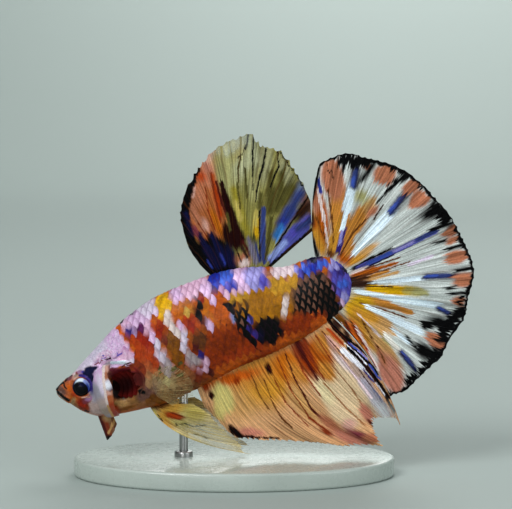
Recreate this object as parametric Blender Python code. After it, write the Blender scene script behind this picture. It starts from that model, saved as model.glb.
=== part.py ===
"""A halfmoon plakat betta in koi colours, flaring, as a life-size model on a small stand.

The fish is modelled in its own frame, in millimetres: x runs from the tip of the snout to the tail,
z is up and square to that, and y = 0 is the plane of symmetry, with the left side at -y. One empty
carries the fish to its place, head down by PITCH. The body is one form, parted by planes, and every
fin is a thin wavy sheet that is ruled by its rays from a root on the body to a margin of ray tips.
"""

import math

import bmesh
import bpy
import numpy as np
from mathutils import Vector

MM = 0.001

# ---- Driving dimensions, mm ----
PITCH = math.radians(18.4)
GAP = 0.2
FIN_THICKNESS = 0.5
FLESHY_FIN_THICKNESS = 0.6
SNOUT_HEIGHT = 13.9
SNOUT_FORWARD = 33.8
BASE_LENGTH, BASE_WIDTH, BASE_HEIGHT = 52.0, 30.0, 3.0
BASE_CENTRE = -5.0
BASE_EDGE = 0.5
ROD_RADIUS = 0.7
ROD_AT = 19.4
ROD_DEPTH_IN_BELLY = 1.6
ROD_DEPTH_IN_BASE = 2.0

# The body's outline: distance from the snout, height of the back, of the belly, half width.
BODY = (
    (0.0, 0.05, -0.55, 0.9),
    (1.2, 0.8, -2.3, 1.65),
    (3.0, 1.5, -4.5, 2.4),
    (5.5, 2.95, -6.3, 3.1),
    (8.5, 4.7, -6.95, 3.7),
    (12.0, 6.6, -6.95, 4.2),
    (16.0, 8.15, -7.25, 4.45),
    (20.0, 9.25, -6.85, 4.35),
    (25.0, 9.75, -6.6, 4.0),
    (30.0, 9.9, -5.85, 3.45),
    (34.0, 9.55, -5.6, 2.95),
    (38.0, 8.5, -5.1, 2.4),
    (42.0, 7.3, -4.4, 1.85),
    (45.8, 7.4, -3.2, 1.35),
    (47.8, 7.0, -2.3, 1.0),
    (49.2, 6.1, -1.4, 0.75),
    (50.2, 4.7, 0.0, 0.55),
    (50.8, 3.3, 1.4, 0.35),
)
# How the flanks close in, towards the back and towards the belly: 1 is an ellipse, less is squarer.
BACK_FULLNESS = ((0.0, 0.8), (10.0, 0.9), (20.0, 1.0), (51.0, 1.1))
BELLY_FULLNESS = ((0.0, 0.8), (12.0, 0.8), (22.0, 0.95), (30.0, 1.15), (51.0, 1.1))
STATION_PITCH = 1.1
RING_POINTS = 24

# Where the body is parted, from the snout.
HEAD_END = 14.2
BREAST_END = 22.4
BELLY_END = 31.5
LOIN_END = 41.0
BODY_END = 50.8

# ---- Head ----
EYE_AT = (4.33, 2.4, -0.63)
EYE_RADIUS, EYE_DEPTH = 1.5, 0.85
MOUTH_CORNER = (2.1, -2.15)
JAW_REAR = (3.4, -5.6)
GILL_AT = (10.6, 4.7, -2.75)
GILL_POCKET = (3.3, 2.4, 3.1)
GILL_PAD_AT = (10.6, 3.3, -2.75)
GILL_PAD = (2.3, 0.5, 2.15)
# The gill cover's hinge from top to bottom: share of the way, x, z, length of the cover there.
COVER_HINGE = (
    (0.0, 8.9, 1.7, 1.4),
    (0.2, 7.0, 0.5, 3.7),
    (0.45, 6.2, -1.5, 5.0),
    (0.7, 6.0, -3.6, 5.0),
    (0.9, 6.1, -5.2, 3.9),
    (1.0, 6.4, -5.9, 2.9),
)
COVER_OPENING = math.radians(74)
COVER_CURL = 0.5
BEARD_FRONT, BEARD_REAR = 5.35, 7.5
BEARD_INNER, BEARD_OUTER = 0.35, 3.0
BEARD_DROP, BEARD_SWEEP, BEARD_FLARE = 3.6, 0.3, 0.6

# ---- Fins ----
# Master rays: share along the root, the tip's x and z, and the ray's bow as a share of its length.
DORSAL_ROOT = (29.7, 39.0)
DORSAL_RAYS = (
    (0.0, 28.5, 11.9, 0.0),
    (0.06, 27.75, 15.4, 0.02),
    (0.13, 27.9, 20.1, 0.06),
    (0.22, 29.6, 23.4, 0.07),
    (0.34, 33.4, 26.8, 0.05),
    (0.46, 37.8, 28.8, 0.02),
    (0.58, 42.9, 29.7, -0.03),
    (0.66, 44.2, 27.2, -0.05),
    (0.75, 46.4, 24.9, -0.07),
    (0.84, 47.5, 21.0, -0.08),
    (0.93, 48.8, 17.2, -0.06),
    (1.0, 47.3, 12.1, -0.02),
)
CAUDAL_CENTRE = (45.6, 2.35)
CAUDAL_ROOT_RADIUS = 5.5
CAUDAL_ROOT_TOP, CAUDAL_ROOT_BOTTOM = math.radians(80), math.radians(-84)
CAUDAL_RAYS = (
    (0.0, 50.3, 19.2, -0.09),
    (0.04, 52.2, 21.4, -0.05),
    (0.1, 55.6, 21.8, -0.02),
    (0.18, 59.9, 19.6, 0.0),
    (0.27, 64.6, 15.9, 0.0),
    (0.36, 67.8, 10.6, 0.0),
    (0.46, 69.8, 4.4, 0.0),
    (0.56, 70.4, -1.8, 0.0),
    (0.66, 67.4, -7.6, 0.0),
    (0.76, 62.7, -12.4, -0.01),
    (0.86, 57.4, -16.2, -0.02),
    (0.95, 53.0, -18.3, -0.03),
    (1.0, 50.8, -18.1, -0.03),
)
ANAL_ROOT = (22.7, 46.0)
ANAL_RAYS = (
    (0.0, 22.7, -9.6, 0.0),
    (0.04, 24.0, -14.3, 0.05),
    (0.1, 27.0, -17.6, 0.1),
    (0.2, 32.2, -19.5, 0.16),
    (0.32, 37.6, -21.0, 0.19),
    (0.45, 42.8, -23.7, 0.2),
    (0.56, 46.9, -24.9, 0.19),
    (0.66, 47.0, -22.9, 0.13),
    (0.8, 48.4, -21.0, 0.06),
    (0.92, 50.2, -21.8, 0.02),
    (1.0, 50.9, -22.4, -0.04),
)
PECTORAL_ROOT = ((15.3, -3.4), (15.5, -5.6))
PECTORAL_RAYS = (
    (0.0, 16.6, -1.6, 0.0),
    (0.2, 18.7, -1.1, 0.02),
    (0.4, 20.9, -2.3, 0.02),
    (0.6, 21.9, -4.7, 0.0),
    (0.8, 21.2, -7.0, -0.02),
    (1.0, 17.6, -7.6, -0.02),
)
PECTORAL_SWING = math.radians(30)
PELVIC_ROOT = ((15.1, -7.6), (13.6, -7.6))
PELVIC_RAYS = (
    (0.0, 19.6, -9.0, 0.0),
    (0.25, 22.0, -11.1, 0.03),
    (0.5, 23.6, -13.7, 0.08),
    (0.75, 25.2, -16.6, 0.13),
    (1.0, 26.7, -19.4, 0.18),
)
PELVIC_BOW_AT = 0.28
PELVIC_SPREAD = (1.0, 3.4)

COLOURS = {
    "pearl_skin": (0.80, 0.66, 0.74),
    "orange_flank": (0.62, 0.21, 0.05),
    "blue_black_tail": (0.16, 0.12, 0.22),
    "olive_dorsal": (0.42, 0.38, 0.17),
    "white_caudal": (0.70, 0.68, 0.60),
    "amber_anal": (0.72, 0.38, 0.15),
    "clear_pectoral": (0.62, 0.55, 0.42),
    "yellow_pelvic": (0.66, 0.53, 0.16),
    "gill_red": (0.16, 0.01, 0.01),
    "beard_brown": (0.18, 0.06, 0.03),
    "eye_black": (0.01, 0.012, 0.03),
    "stand_pale": (0.60, 0.65, 0.63),
    "stand_steel": (0.55, 0.56, 0.58),
}


def curve_through(points, at):
    """A smooth curve through (x, value) pairs that never overshoots them (monotone cubic)."""
    x = np.array([p[0] for p in points], float)
    y = np.array([p[1] for p in points], float)
    step = np.diff(x)
    slope = np.diff(y) / step
    tangent = np.zeros(len(x))
    for i in range(1, len(x) - 1):
        if slope[i - 1] * slope[i] > 0:
            a = 2 * step[i] + step[i - 1]
            b = step[i] + 2 * step[i - 1]
            tangent[i] = (a + b) / (a / slope[i - 1] + b / slope[i])
    tangent[0], tangent[-1] = slope[0], slope[-1]
    i = int(np.clip(np.searchsorted(x, at) - 1, 0, len(step) - 1))
    t = min(max((at - x[i]) / step[i], 0.0), 1.0)
    return float(
        (1 + 2 * t) * (1 - t) ** 2 * y[i]
        + t * (1 - t) ** 2 * step[i] * tangent[i]
        + t * t * (3 - 2 * t) * y[i + 1]
        + t * t * (t - 1) * step[i] * tangent[i + 1]
    )


def column(rows, n):
    return [(row[0], row[n]) for row in rows]


def body_section(x):
    """(back, belly, half width) of the body at a distance from the snout."""
    return tuple(curve_through(column(BODY, n), x) for n in (1, 2, 3))


def body_ring_point(x, turn):
    """A point of the body's skin. turn goes round the section from the left flank by the back."""
    back, belly, half = body_section(x)
    middle = (back + belly) / 2
    c, s = -math.cos(turn), math.sin(turn)
    fullness = curve_through(BACK_FULLNESS if s > 0 else BELLY_FULLNESS, x)
    y = half * math.copysign(abs(c) ** fullness, c)
    return Vector((x, y, middle + (back - belly) / 2 * s))


def flank(x, z):
    """Half width of the body at a height."""
    back, belly, half = body_section(x)
    s = min(max((z - (back + belly) / 2) / ((back - belly) / 2), -1.0), 1.0)
    fullness = curve_through(BACK_FULLNESS if s > 0 else BELLY_FULLNESS, x)
    return half * math.sqrt(1 - s * s) ** fullness


def underside(x, out):
    """Height of the lower side of the body, at a distance out from the middle."""
    back, belly, half = body_section(x)
    c = min(out / half, 1.0) ** (1 / curve_through(BELLY_FULLNESS, x))
    return (back + belly) / 2 - (back - belly) / 2 * math.sqrt(1 - c * c)


def to_world(point):
    """A point of the fish's frame in the part's own frame, mm."""
    x, y, z = point
    c, s = math.cos(PITCH), math.sin(PITCH)
    return Vector((x * c - z * s - SNOUT_FORWARD, y, x * s + z * c + SNOUT_HEIGHT))


def clear_scene():
    for obj in list(bpy.data.objects):
        bpy.data.objects.remove(obj)


def material(slot, roughness=0.4, metallic=0.0):
    found = bpy.data.materials.get(slot)
    if found:
        return found
    made = bpy.data.materials.new(slot)
    made.use_nodes = True
    shader = made.node_tree.nodes["Principled BSDF"]
    shader.inputs["Base Color"].default_value = (*COLOURS[slot], 1)
    shader.inputs["Roughness"].default_value = roughness
    shader.inputs["Metallic"].default_value = metallic
    return made


def add_object(name, bm, slot, parent=None):
    """A smooth-shaded object from a bmesh in mm."""
    bmesh.ops.recalc_face_normals(bm, faces=bm.faces)
    bmesh.ops.scale(bm, vec=(MM, MM, MM), verts=bm.verts)
    mesh = bpy.data.meshes.new(name)
    bm.to_mesh(mesh)
    bm.free()
    mesh.shade_smooth()
    mesh.set_sharp_from_angle(angle=math.radians(50))
    obj = bpy.data.objects.new(name, mesh)
    bpy.context.scene.collection.objects.link(obj)
    if slot:
        mesh.materials.append(material(slot))
    obj.parent = parent
    return obj


def loft(name, rings, slot, parent):
    """A closed solid through rings of points, capped at both ends."""
    bm = bmesh.new()
    loops = [[bm.verts.new(p) for p in ring] for ring in rings]
    n = len(loops[0])
    for near, far in zip(loops, loops[1:]):
        for i in range(n):
            bm.faces.new((near[i], near[(i + 1) % n], far[(i + 1) % n], far[i]))
    bm.faces.new(loops[0])
    bm.faces.new(list(reversed(loops[-1])))
    return add_object(name, bm, slot, parent)


def body_length(name, start, end, slot, parent):
    """A length of the body between two planes."""
    count = max(2, round((end - start) / STATION_PITCH))
    stations = [start + (end - start) * i / count for i in range(count + 1)]
    turns = [2 * math.pi * i / RING_POINTS for i in range(RING_POINTS)]
    rings = [[body_ring_point(x, turn) for turn in turns] for x in stations]
    return loft(name, rings, slot, parent)


def sheet(name, point, across, along, thickness, slot, parent):
    """A thin solid over a grid of points, point(u, v) for u and v from 0 to 1."""
    bm = bmesh.new()
    grid = [
        [bm.verts.new(point(i / across, j / along)) for j in range(along + 1)]
        for i in range(across + 1)
    ]
    for i in range(across):
        for j in range(along):
            bm.faces.new((grid[i][j], grid[i + 1][j], grid[i + 1][j + 1], grid[i][j + 1]))
    obj = add_object(name, bm, slot, parent)
    solidify = obj.modifiers.new("thickness", "SOLIDIFY")
    solidify.thickness = thickness * MM
    solidify.offset = 0
    solidify.use_even_offset = False
    return obj


def ellipsoid(name, centre, radii, slot, parent, segments=16, rings=9):
    bm = bmesh.new()
    bmesh.ops.create_uvsphere(bm, u_segments=segments, v_segments=rings, radius=1)
    bmesh.ops.rotate(
        bm, verts=bm.verts, matrix=Vector((0, 1, 0)).rotation_difference((0, 0, 1)).to_matrix()
    )
    bmesh.ops.scale(bm, vec=radii, verts=bm.verts)
    bmesh.ops.translate(bm, vec=centre, verts=bm.verts)
    return add_object(name, bm, slot, parent)


def cutter(obj):
    obj.hide_render = True
    obj.display_type = "WIRE"
    return obj


def cut(obj, tool, operation="DIFFERENCE"):
    boolean = obj.modifiers.new(f"{operation.lower()} {tool.name}", "BOOLEAN")
    boolean.operation = operation
    boolean.object = tool


def prism(name, outline, half_width, parent):
    """A side-view outline, extruded to both sides."""
    bm = bmesh.new()
    sides = [[bm.verts.new((x, y, z)) for x, z in outline] for y in (-half_width, half_width)]
    n = len(outline)
    for i in range(n):
        bm.faces.new((sides[0][i], sides[0][(i + 1) % n], sides[1][(i + 1) % n], sides[1][i]))
    bm.faces.new(sides[0])
    bm.faces.new(list(reversed(sides[1])))
    return add_object(name, bm, None, parent)


def jaw_outline(gap):
    """Side view of the space that the lower jaw takes, drawn back by a gap from the rest."""
    corner_x, corner_z = MOUTH_CORNER
    rear_x, rear_z = JAW_REAR
    return (
        (-3.0, 2.2 - gap),
        (corner_x - gap * 0.5, corner_z - gap * 1.2),
        (rear_x - gap, rear_z),
        (rear_x - gap, rear_z - 3.0),
        (-3.0, rear_z - 3.0),
    )


def ray_point(root, tip, bow, bow_at, v):
    """A point on a fin ray, a quadratic curve from root to tip in side view."""
    root, tip = Vector(root), Vector(tip)
    along = tip - root
    middle = root + along * bow_at + Vector((along.y, -along.x)) * bow
    return root * (1 - v) ** 2 + middle * (2 * v * (1 - v)) + tip * v * v


def fin_point(root_at, rays, u, v, bow_at=0.5):
    """Side-view point of a fin between its master rays."""
    tip = [curve_through(column(rays, n), u) for n in (1, 2)]
    return ray_point(root_at(u), tip, curve_through(column(rays, 3), u), bow_at, v)


def median_fin(name, root_at, rays, wave, across, along, slot, parent):
    """A fin in the plane of symmetry. wave(u, v) is how far it sways to the side."""

    def point(u, v):
        x, z = fin_point(root_at, rays, u, v)
        return Vector((x, wave(u, v), z))

    return sheet(name, point, across, along, FIN_THICKNESS, slot, parent)


def sway(amount, waves, phase):
    """Folds that run along the rays and deepen towards the margin."""
    return lambda u, v: amount * v**1.6 * math.sin(2 * math.pi * (waves * u + phase))


def dorsal_root(u):
    start, end = DORSAL_ROOT
    x = start + (end - start) * u
    return x, body_section(x)[0] + GAP


def anal_root(u):
    start, end = ANAL_ROOT
    x = start + (end - start) * u
    return x, body_section(x)[1] - GAP


def caudal_root(u):
    angle = CAUDAL_ROOT_TOP + (CAUDAL_ROOT_BOTTOM - CAUDAL_ROOT_TOP) * u
    x, z = CAUDAL_CENTRE
    return x + CAUDAL_ROOT_RADIUS * math.cos(angle), z + CAUDAL_ROOT_RADIUS * math.sin(angle)


def between(ends):
    """Straight root line of a paired fin, as a function of the share along it."""
    (x0, z0), (x1, z1) = ends
    return lambda u: (x0 + (x1 - x0) * u, z0 + (z1 - z0) * u)


def pectoral_fin(name, side, parent):
    root_x, root_z = between(PECTORAL_ROOT)(0.5)
    root_y = flank(root_x, root_z) + GAP + FIN_THICKNESS

    def point(u, v):
        x, z = fin_point(between(PECTORAL_ROOT), PECTORAL_RAYS, u, v)
        out = root_y + (x - root_x) * math.tan(PECTORAL_SWING) + 0.25 * v * math.sin(9 * u)
        return Vector((x, side * out, z))

    return sheet(name, point, 10, 4, FIN_THICKNESS, "clear_pectoral", parent)


def pelvic_fin(name, side, parent):
    near, far = PELVIC_SPREAD

    def point(u, v):
        x, z = fin_point(between(PELVIC_ROOT), PELVIC_RAYS, u, v, PELVIC_BOW_AT)
        out = near + (far - near) * v + 0.5 * v * math.sin(7 * u + side)
        return Vector((x, side * out, z))

    return sheet(name, point, 8, 9, FLESHY_FIN_THICKNESS, "yellow_pelvic", parent)


def gill_cover(name, side, parent):
    """A flared, dished plate that stands off the cheek from its hinge."""

    def point(u, v):
        x, z, length = (curve_through(column(COVER_HINGE, n), v) for n in (1, 2, 3))
        root = flank(x, z) + GAP + 0.3
        angle = COVER_OPENING + COVER_CURL * (0.5 - u)
        reach = length * u
        return Vector((x + reach * math.cos(angle), side * (root + reach * math.sin(angle)), z))

    return sheet(name, point, 5, 11, FIN_THICKNESS, "pearl_skin", parent)


def beard(name, side, parent):
    """Half of the throat membrane: a flap from the throat, deepest at the middle of the fish."""

    def point(u, v):
        x = BEARD_FRONT + (BEARD_REAR - BEARD_FRONT) * u
        out = BEARD_INNER + (BEARD_OUTER - BEARD_INNER) * u
        top = underside(x, out) - GAP - FIN_THICKNESS / 2
        drop = BEARD_DROP * (1 - 0.7 * u) * v
        return Vector((x + BEARD_SWEEP * v, side * (out + BEARD_FLARE * v), top - drop))

    return sheet(name, point, 6, 5, FIN_THICKNESS, "beard_brown", parent)


def stand(trunk):
    """The oval base, with a blind hole for the rod, and the rod, which ends inside the belly."""
    foot = to_world((ROD_AT, 0, body_section(ROD_AT)[1]))
    bm = bmesh.new()
    bmesh.ops.create_cone(
        bm, cap_ends=True, segments=40, radius1=BASE_LENGTH / 2, radius2=BASE_LENGTH / 2,
        depth=BASE_HEIGHT,
    )
    bmesh.ops.scale(bm, vec=(1, BASE_WIDTH / BASE_LENGTH, 1), verts=bm.verts)
    bmesh.ops.translate(bm, vec=(BASE_CENTRE, 0, BASE_HEIGHT / 2), verts=bm.verts)
    base = add_object("stand_base", bm, "stand_pale")
    bevel = base.modifiers.new("edge", "BEVEL")
    bevel.width = BASE_EDGE * MM
    bevel.segments = 2
    bevel.limit_method = "ANGLE"

    def rod(name, radius, low, high, slot):
        bm = bmesh.new()
        bmesh.ops.create_cone(
            bm, cap_ends=True, segments=20, radius1=radius, radius2=radius, depth=high - low
        )
        bmesh.ops.translate(bm, vec=(foot.x, 0, (low + high) / 2), verts=bm.verts)
        return add_object(name, bm, slot)

    low = BASE_HEIGHT - ROD_DEPTH_IN_BASE
    high = foot.z + ROD_DEPTH_IN_BELLY
    rod("stand_rod", ROD_RADIUS, low, high, "stand_steel")
    sleeve = cutter(rod("rod_sleeve", ROD_RADIUS + GAP, low - GAP, high + GAP, None))
    cut(base, sleeve)
    cut(trunk, sleeve)


def head(parent):
    skull = body_length("head", 0.0, HEAD_END, "pearl_skin", parent)
    jaw = body_length("lower_jaw", 0.0, JAW_REAR[0] + 1.0, "pearl_skin", parent)
    cut(skull, cutter(prism("jaw_space", jaw_outline(0.0), 6.0, parent)))
    cut(jaw, cutter(prism("jaw_block", jaw_outline(GAP), 6.0, parent)), "INTERSECT")
    for side, word in ((-1, "left"), (1, "right")):
        x, y, z = EYE_AT
        eye = (EYE_RADIUS, EYE_DEPTH, EYE_RADIUS)
        socket = tuple(r + GAP for r in eye)
        ellipsoid(f"eye_{word}", (x, side * y, z), eye, "eye_black", parent)
        cut(skull, cutter(ellipsoid(f"socket_{word}", (x, side * y, z), socket, None, parent)))
        x, y, z = GILL_AT
        cut(skull, cutter(ellipsoid(f"pocket_{word}", (x, side * y, z), GILL_POCKET, None, parent)))
        x, y, z = GILL_PAD_AT
        ellipsoid(f"gills_{word}", (x, side * y, z), GILL_PAD, "gill_red", parent)
        gill_cover(f"gill_cover_{word}", side, parent)
        beard(f"beard_{word}", side, parent)


def trunk(parent):
    """The lengths of the body behind the head. Returns the one that the rod enters."""
    breast = body_length("trunk_front", HEAD_END + GAP, BREAST_END, "pearl_skin", parent)
    body_length("trunk_middle", BREAST_END + GAP, BELLY_END, "orange_flank", parent)
    body_length("trunk_rear", BELLY_END + GAP, LOIN_END, "orange_flank", parent)
    body_length("tail_root", LOIN_END + GAP, BODY_END, "blue_black_tail", parent)
    return breast


def fins(parent):
    median_fin("dorsal_fin", dorsal_root, DORSAL_RAYS, sway(0.9, 3.2, 0.1), 28, 6,
               "olive_dorsal", parent)
    median_fin("caudal_fin", caudal_root, CAUDAL_RAYS, sway(0.7, 4.5, 0.0), 38, 6,
               "white_caudal", parent)
    median_fin("anal_fin", anal_root, ANAL_RAYS, sway(0.8, 4.0, 0.3), 34, 7,
               "amber_anal", parent)
    for side, word in ((-1, "left"), (1, "right")):
        pectoral_fin(f"pectoral_fin_{word}", side, parent)
        pelvic_fin(f"pelvic_fin_{word}", side, parent)


def main():
    clear_scene()
    fish = bpy.data.objects.new("fish", None)
    bpy.context.scene.collection.objects.link(fish)
    fish.location = to_world((0, 0, 0)) * MM
    fish.rotation_euler = (0, -PITCH, 0)
    head(fish)
    stand(trunk(fish))
    fins(fish)


main()
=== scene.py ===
"""Looks of the life-size betta: a painted skin under scale plates, rayed fins, gill covers, eyes and a stand.

The fish has its own frame in millimetres, as the CAD has: x from the tip of the snout to the tail,
z up and square to that, y = 0 the plane of symmetry, the left side at -y. FISH takes it to the row.
"""

import math

import bpy
import numpy as np
from mathutils import Matrix, Vector


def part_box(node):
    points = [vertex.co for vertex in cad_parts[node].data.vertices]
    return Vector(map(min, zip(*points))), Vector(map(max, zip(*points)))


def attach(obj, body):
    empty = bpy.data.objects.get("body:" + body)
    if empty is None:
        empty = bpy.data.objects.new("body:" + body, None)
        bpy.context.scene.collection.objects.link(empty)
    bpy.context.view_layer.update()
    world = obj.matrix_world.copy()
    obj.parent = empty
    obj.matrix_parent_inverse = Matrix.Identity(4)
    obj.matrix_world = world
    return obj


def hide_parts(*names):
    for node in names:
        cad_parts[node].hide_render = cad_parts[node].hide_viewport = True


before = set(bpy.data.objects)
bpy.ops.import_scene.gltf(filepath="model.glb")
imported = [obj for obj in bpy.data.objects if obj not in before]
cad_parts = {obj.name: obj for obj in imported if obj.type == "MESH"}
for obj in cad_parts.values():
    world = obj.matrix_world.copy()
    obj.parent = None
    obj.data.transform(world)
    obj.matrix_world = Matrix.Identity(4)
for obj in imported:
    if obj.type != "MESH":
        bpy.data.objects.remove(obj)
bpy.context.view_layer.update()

MM = 0.001
PITCH = math.radians(18.4)
SNOUT = (-33.8, 0.0, 13.9)
FISH = Matrix.Scale(MM, 4) @ Matrix.Translation(SNOUT) @ Matrix.Rotation(-PITCH, 4, "Y")

# The body's outline: distance from the snout, height of the back, of the belly, half width.
BODY = (
    (0.0, 0.1, -0.75, 0.9),
    (0.5, 0.48, -1.6, 1.3),
    (1.2, 0.85, -2.5, 1.65),
    (3.0, 1.5, -4.7, 2.4),
    (5.5, 2.95, -6.4, 3.1),
    (8.5, 4.7, -7.1, 3.7),
    (12.0, 6.6, -7.5, 4.2),
    (16.0, 8.15, -7.8, 4.45),
    (20.0, 9.25, -7.35, 4.35),
    (25.0, 9.75, -6.6, 4.0),
    (30.0, 9.9, -5.85, 3.45),
    (34.0, 9.55, -5.6, 2.95),
    (38.0, 8.5, -5.1, 2.4),
    (42.0, 7.3, -4.4, 1.85),
    (45.8, 7.4, -3.2, 1.35),
    (47.8, 7.0, -2.3, 1.0),
    (49.2, 6.1, -1.4, 0.75),
    (50.2, 4.7, 0.0, 0.55),
    (50.8, 3.3, 1.4, 0.35),
)
# The power of the section's curve above and below, along x. 1 makes an oval, and less is boxier.
BACK_FULLNESS = ((0.0, 0.8), (10.0, 0.9), (20.0, 1.0), (51.0, 1.1))
BELLY_FULLNESS = ((0.0, 0.8), (12.0, 0.8), (22.0, 0.95), (30.0, 1.15), (51.0, 1.1))
BODY_END = 50.8
COAT_DEPTH = 0.16

EYE_AT = (4.33, 2.4, -0.63)
EYE_RADIUS, EYE_DEPTH = 1.48, 0.85
MOUTH = ((-0.4, 0.1), (0.3, -0.6), (1.5, -2.15))
GILL_AT = (10.7, -2.4)
GILL_POCKET = (3.3, 3.0)

# Master rays of the fins: share along the root, the tip's x and z, and the ray's bow.
DORSAL_ROOT = (29.7, 39.0)
DORSAL_RAYS = (
    (0.0, 28.5, 11.9, 0.0),
    (0.06, 27.6, 15.5, 0.02),
    (0.13, 27.8, 19.8, 0.06),
    (0.22, 29.7, 23.4, 0.07),
    (0.34, 33.2, 27.1, 0.05),
    (0.46, 37.6, 29.2, 0.02),
    (0.58, 42.9, 29.7, -0.03),
    (0.66, 44.2, 27.2, -0.05),
    (0.75, 46.8, 25.2, -0.07),
    (0.84, 48.0, 21.7, -0.08),
    (0.93, 48.8, 17.2, -0.06),
    (1.0, 47.4, 11.3, -0.01),
)
CAUDAL_CENTRE = (45.6, 2.35)
CAUDAL_ROOT_RADIUS = 4.95
CAUDAL_ROOT_TOP, CAUDAL_ROOT_BOTTOM = math.radians(80), math.radians(-84)
CAUDAL_RAYS = (
    (0.0, 50.6, 19.2, -0.09),
    (0.04, 52.2, 21.4, -0.05),
    (0.1, 55.6, 21.8, -0.02),
    (0.18, 59.9, 19.6, 0.0),
    (0.27, 64.6, 15.9, 0.0),
    (0.36, 67.8, 10.6, 0.0),
    (0.46, 69.8, 4.4, 0.0),
    (0.56, 70.4, -1.8, 0.0),
    (0.66, 67.7, -7.4, 0.0),
    (0.71, 66.5, -9.8, 0.0),
    (0.76, 62.9, -12.4, -0.01),
    (0.81, 61.0, -14.4, -0.015),
    (0.86, 57.4, -16.2, -0.02),
    (0.95, 53.0, -18.3, -0.06),
    (1.0, 50.95, -18.1, -0.112),
)
ANAL_ROOT = (21.7, 46.0)
ANAL_RAYS = (
    (0.0, 21.9, -10.4, 0.0),
    (0.04, 23.7, -14.0, 0.03),
    (0.07, 24.7, -16.1, 0.06),
    (0.12, 27.0, -17.6, 0.1),
    (0.22, 32.2, -19.9, 0.16),
    (0.32, 37.7, -21.7, 0.19),
    (0.45, 42.8, -24.3, 0.2),
    (0.56, 47.3, -25.5, 0.19),
    (0.66, 47.0, -22.9, 0.13),
    (0.8, 48.4, -21.0, 0.06),
    (0.92, 50.2, -21.8, -0.03),
    (1.0, 51.0, -23.2, -0.143),
)
PECTORAL_ROOT = ((15.3, -3.4), (15.5, -5.6))
PECTORAL_RAYS = (
    (0.0, 16.6, -1.6, 0.0),
    (0.2, 18.7, -1.1, 0.02),
    (0.4, 20.9, -2.3, 0.02),
    (0.6, 21.9, -4.7, 0.0),
    (0.8, 21.2, -7.0, -0.02),
    (1.0, 17.6, -7.6, -0.02),
)
PECTORAL_SWING = math.radians(30)
PELVIC_ROOT = ((15.1, -7.2), (13.6, -7.2))
PELVIC_RAYS = (
    (0.0, 20.6, -8.8, 0.0),
    (0.25, 22.6, -11.1, 0.03),
    (0.5, 23.6, -13.7, 0.08),
    (0.75, 25.2, -16.6, 0.16),
    (1.0, 26.7, -19.4, 0.22),
)
PELVIC_BOW_AT = 0.28
PELVIC_SPREAD = (1.0, 3.4)
# A gill cover's hinge: share down it, x, z, and how long the cover is there.
COVER_HINGE = (
    (0.0, 8.9, 1.7, 1.4),
    (0.2, 7.0, 0.5, 3.7),
    (0.45, 6.2, -1.5, 5.0),
    (0.7, 6.0, -3.6, 5.0),
    (0.9, 6.2, -5.5, 3.9),
    (1.0, 6.6, -6.7, 3.2),
)
COVER_OPENING = math.radians(74)
COVER_CURL = 0.5
BEARD_FRONT, BEARD_REAR = 5.1, 7.0
BEARD_INNER, BEARD_OUTER = 0.35, 2.2
BEARD_DROP, BEARD_SWEEP, BEARD_FLARE = 3.7, 0.2, 0.4
SIDES = ((-1, "left"), (1, "right"))

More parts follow.
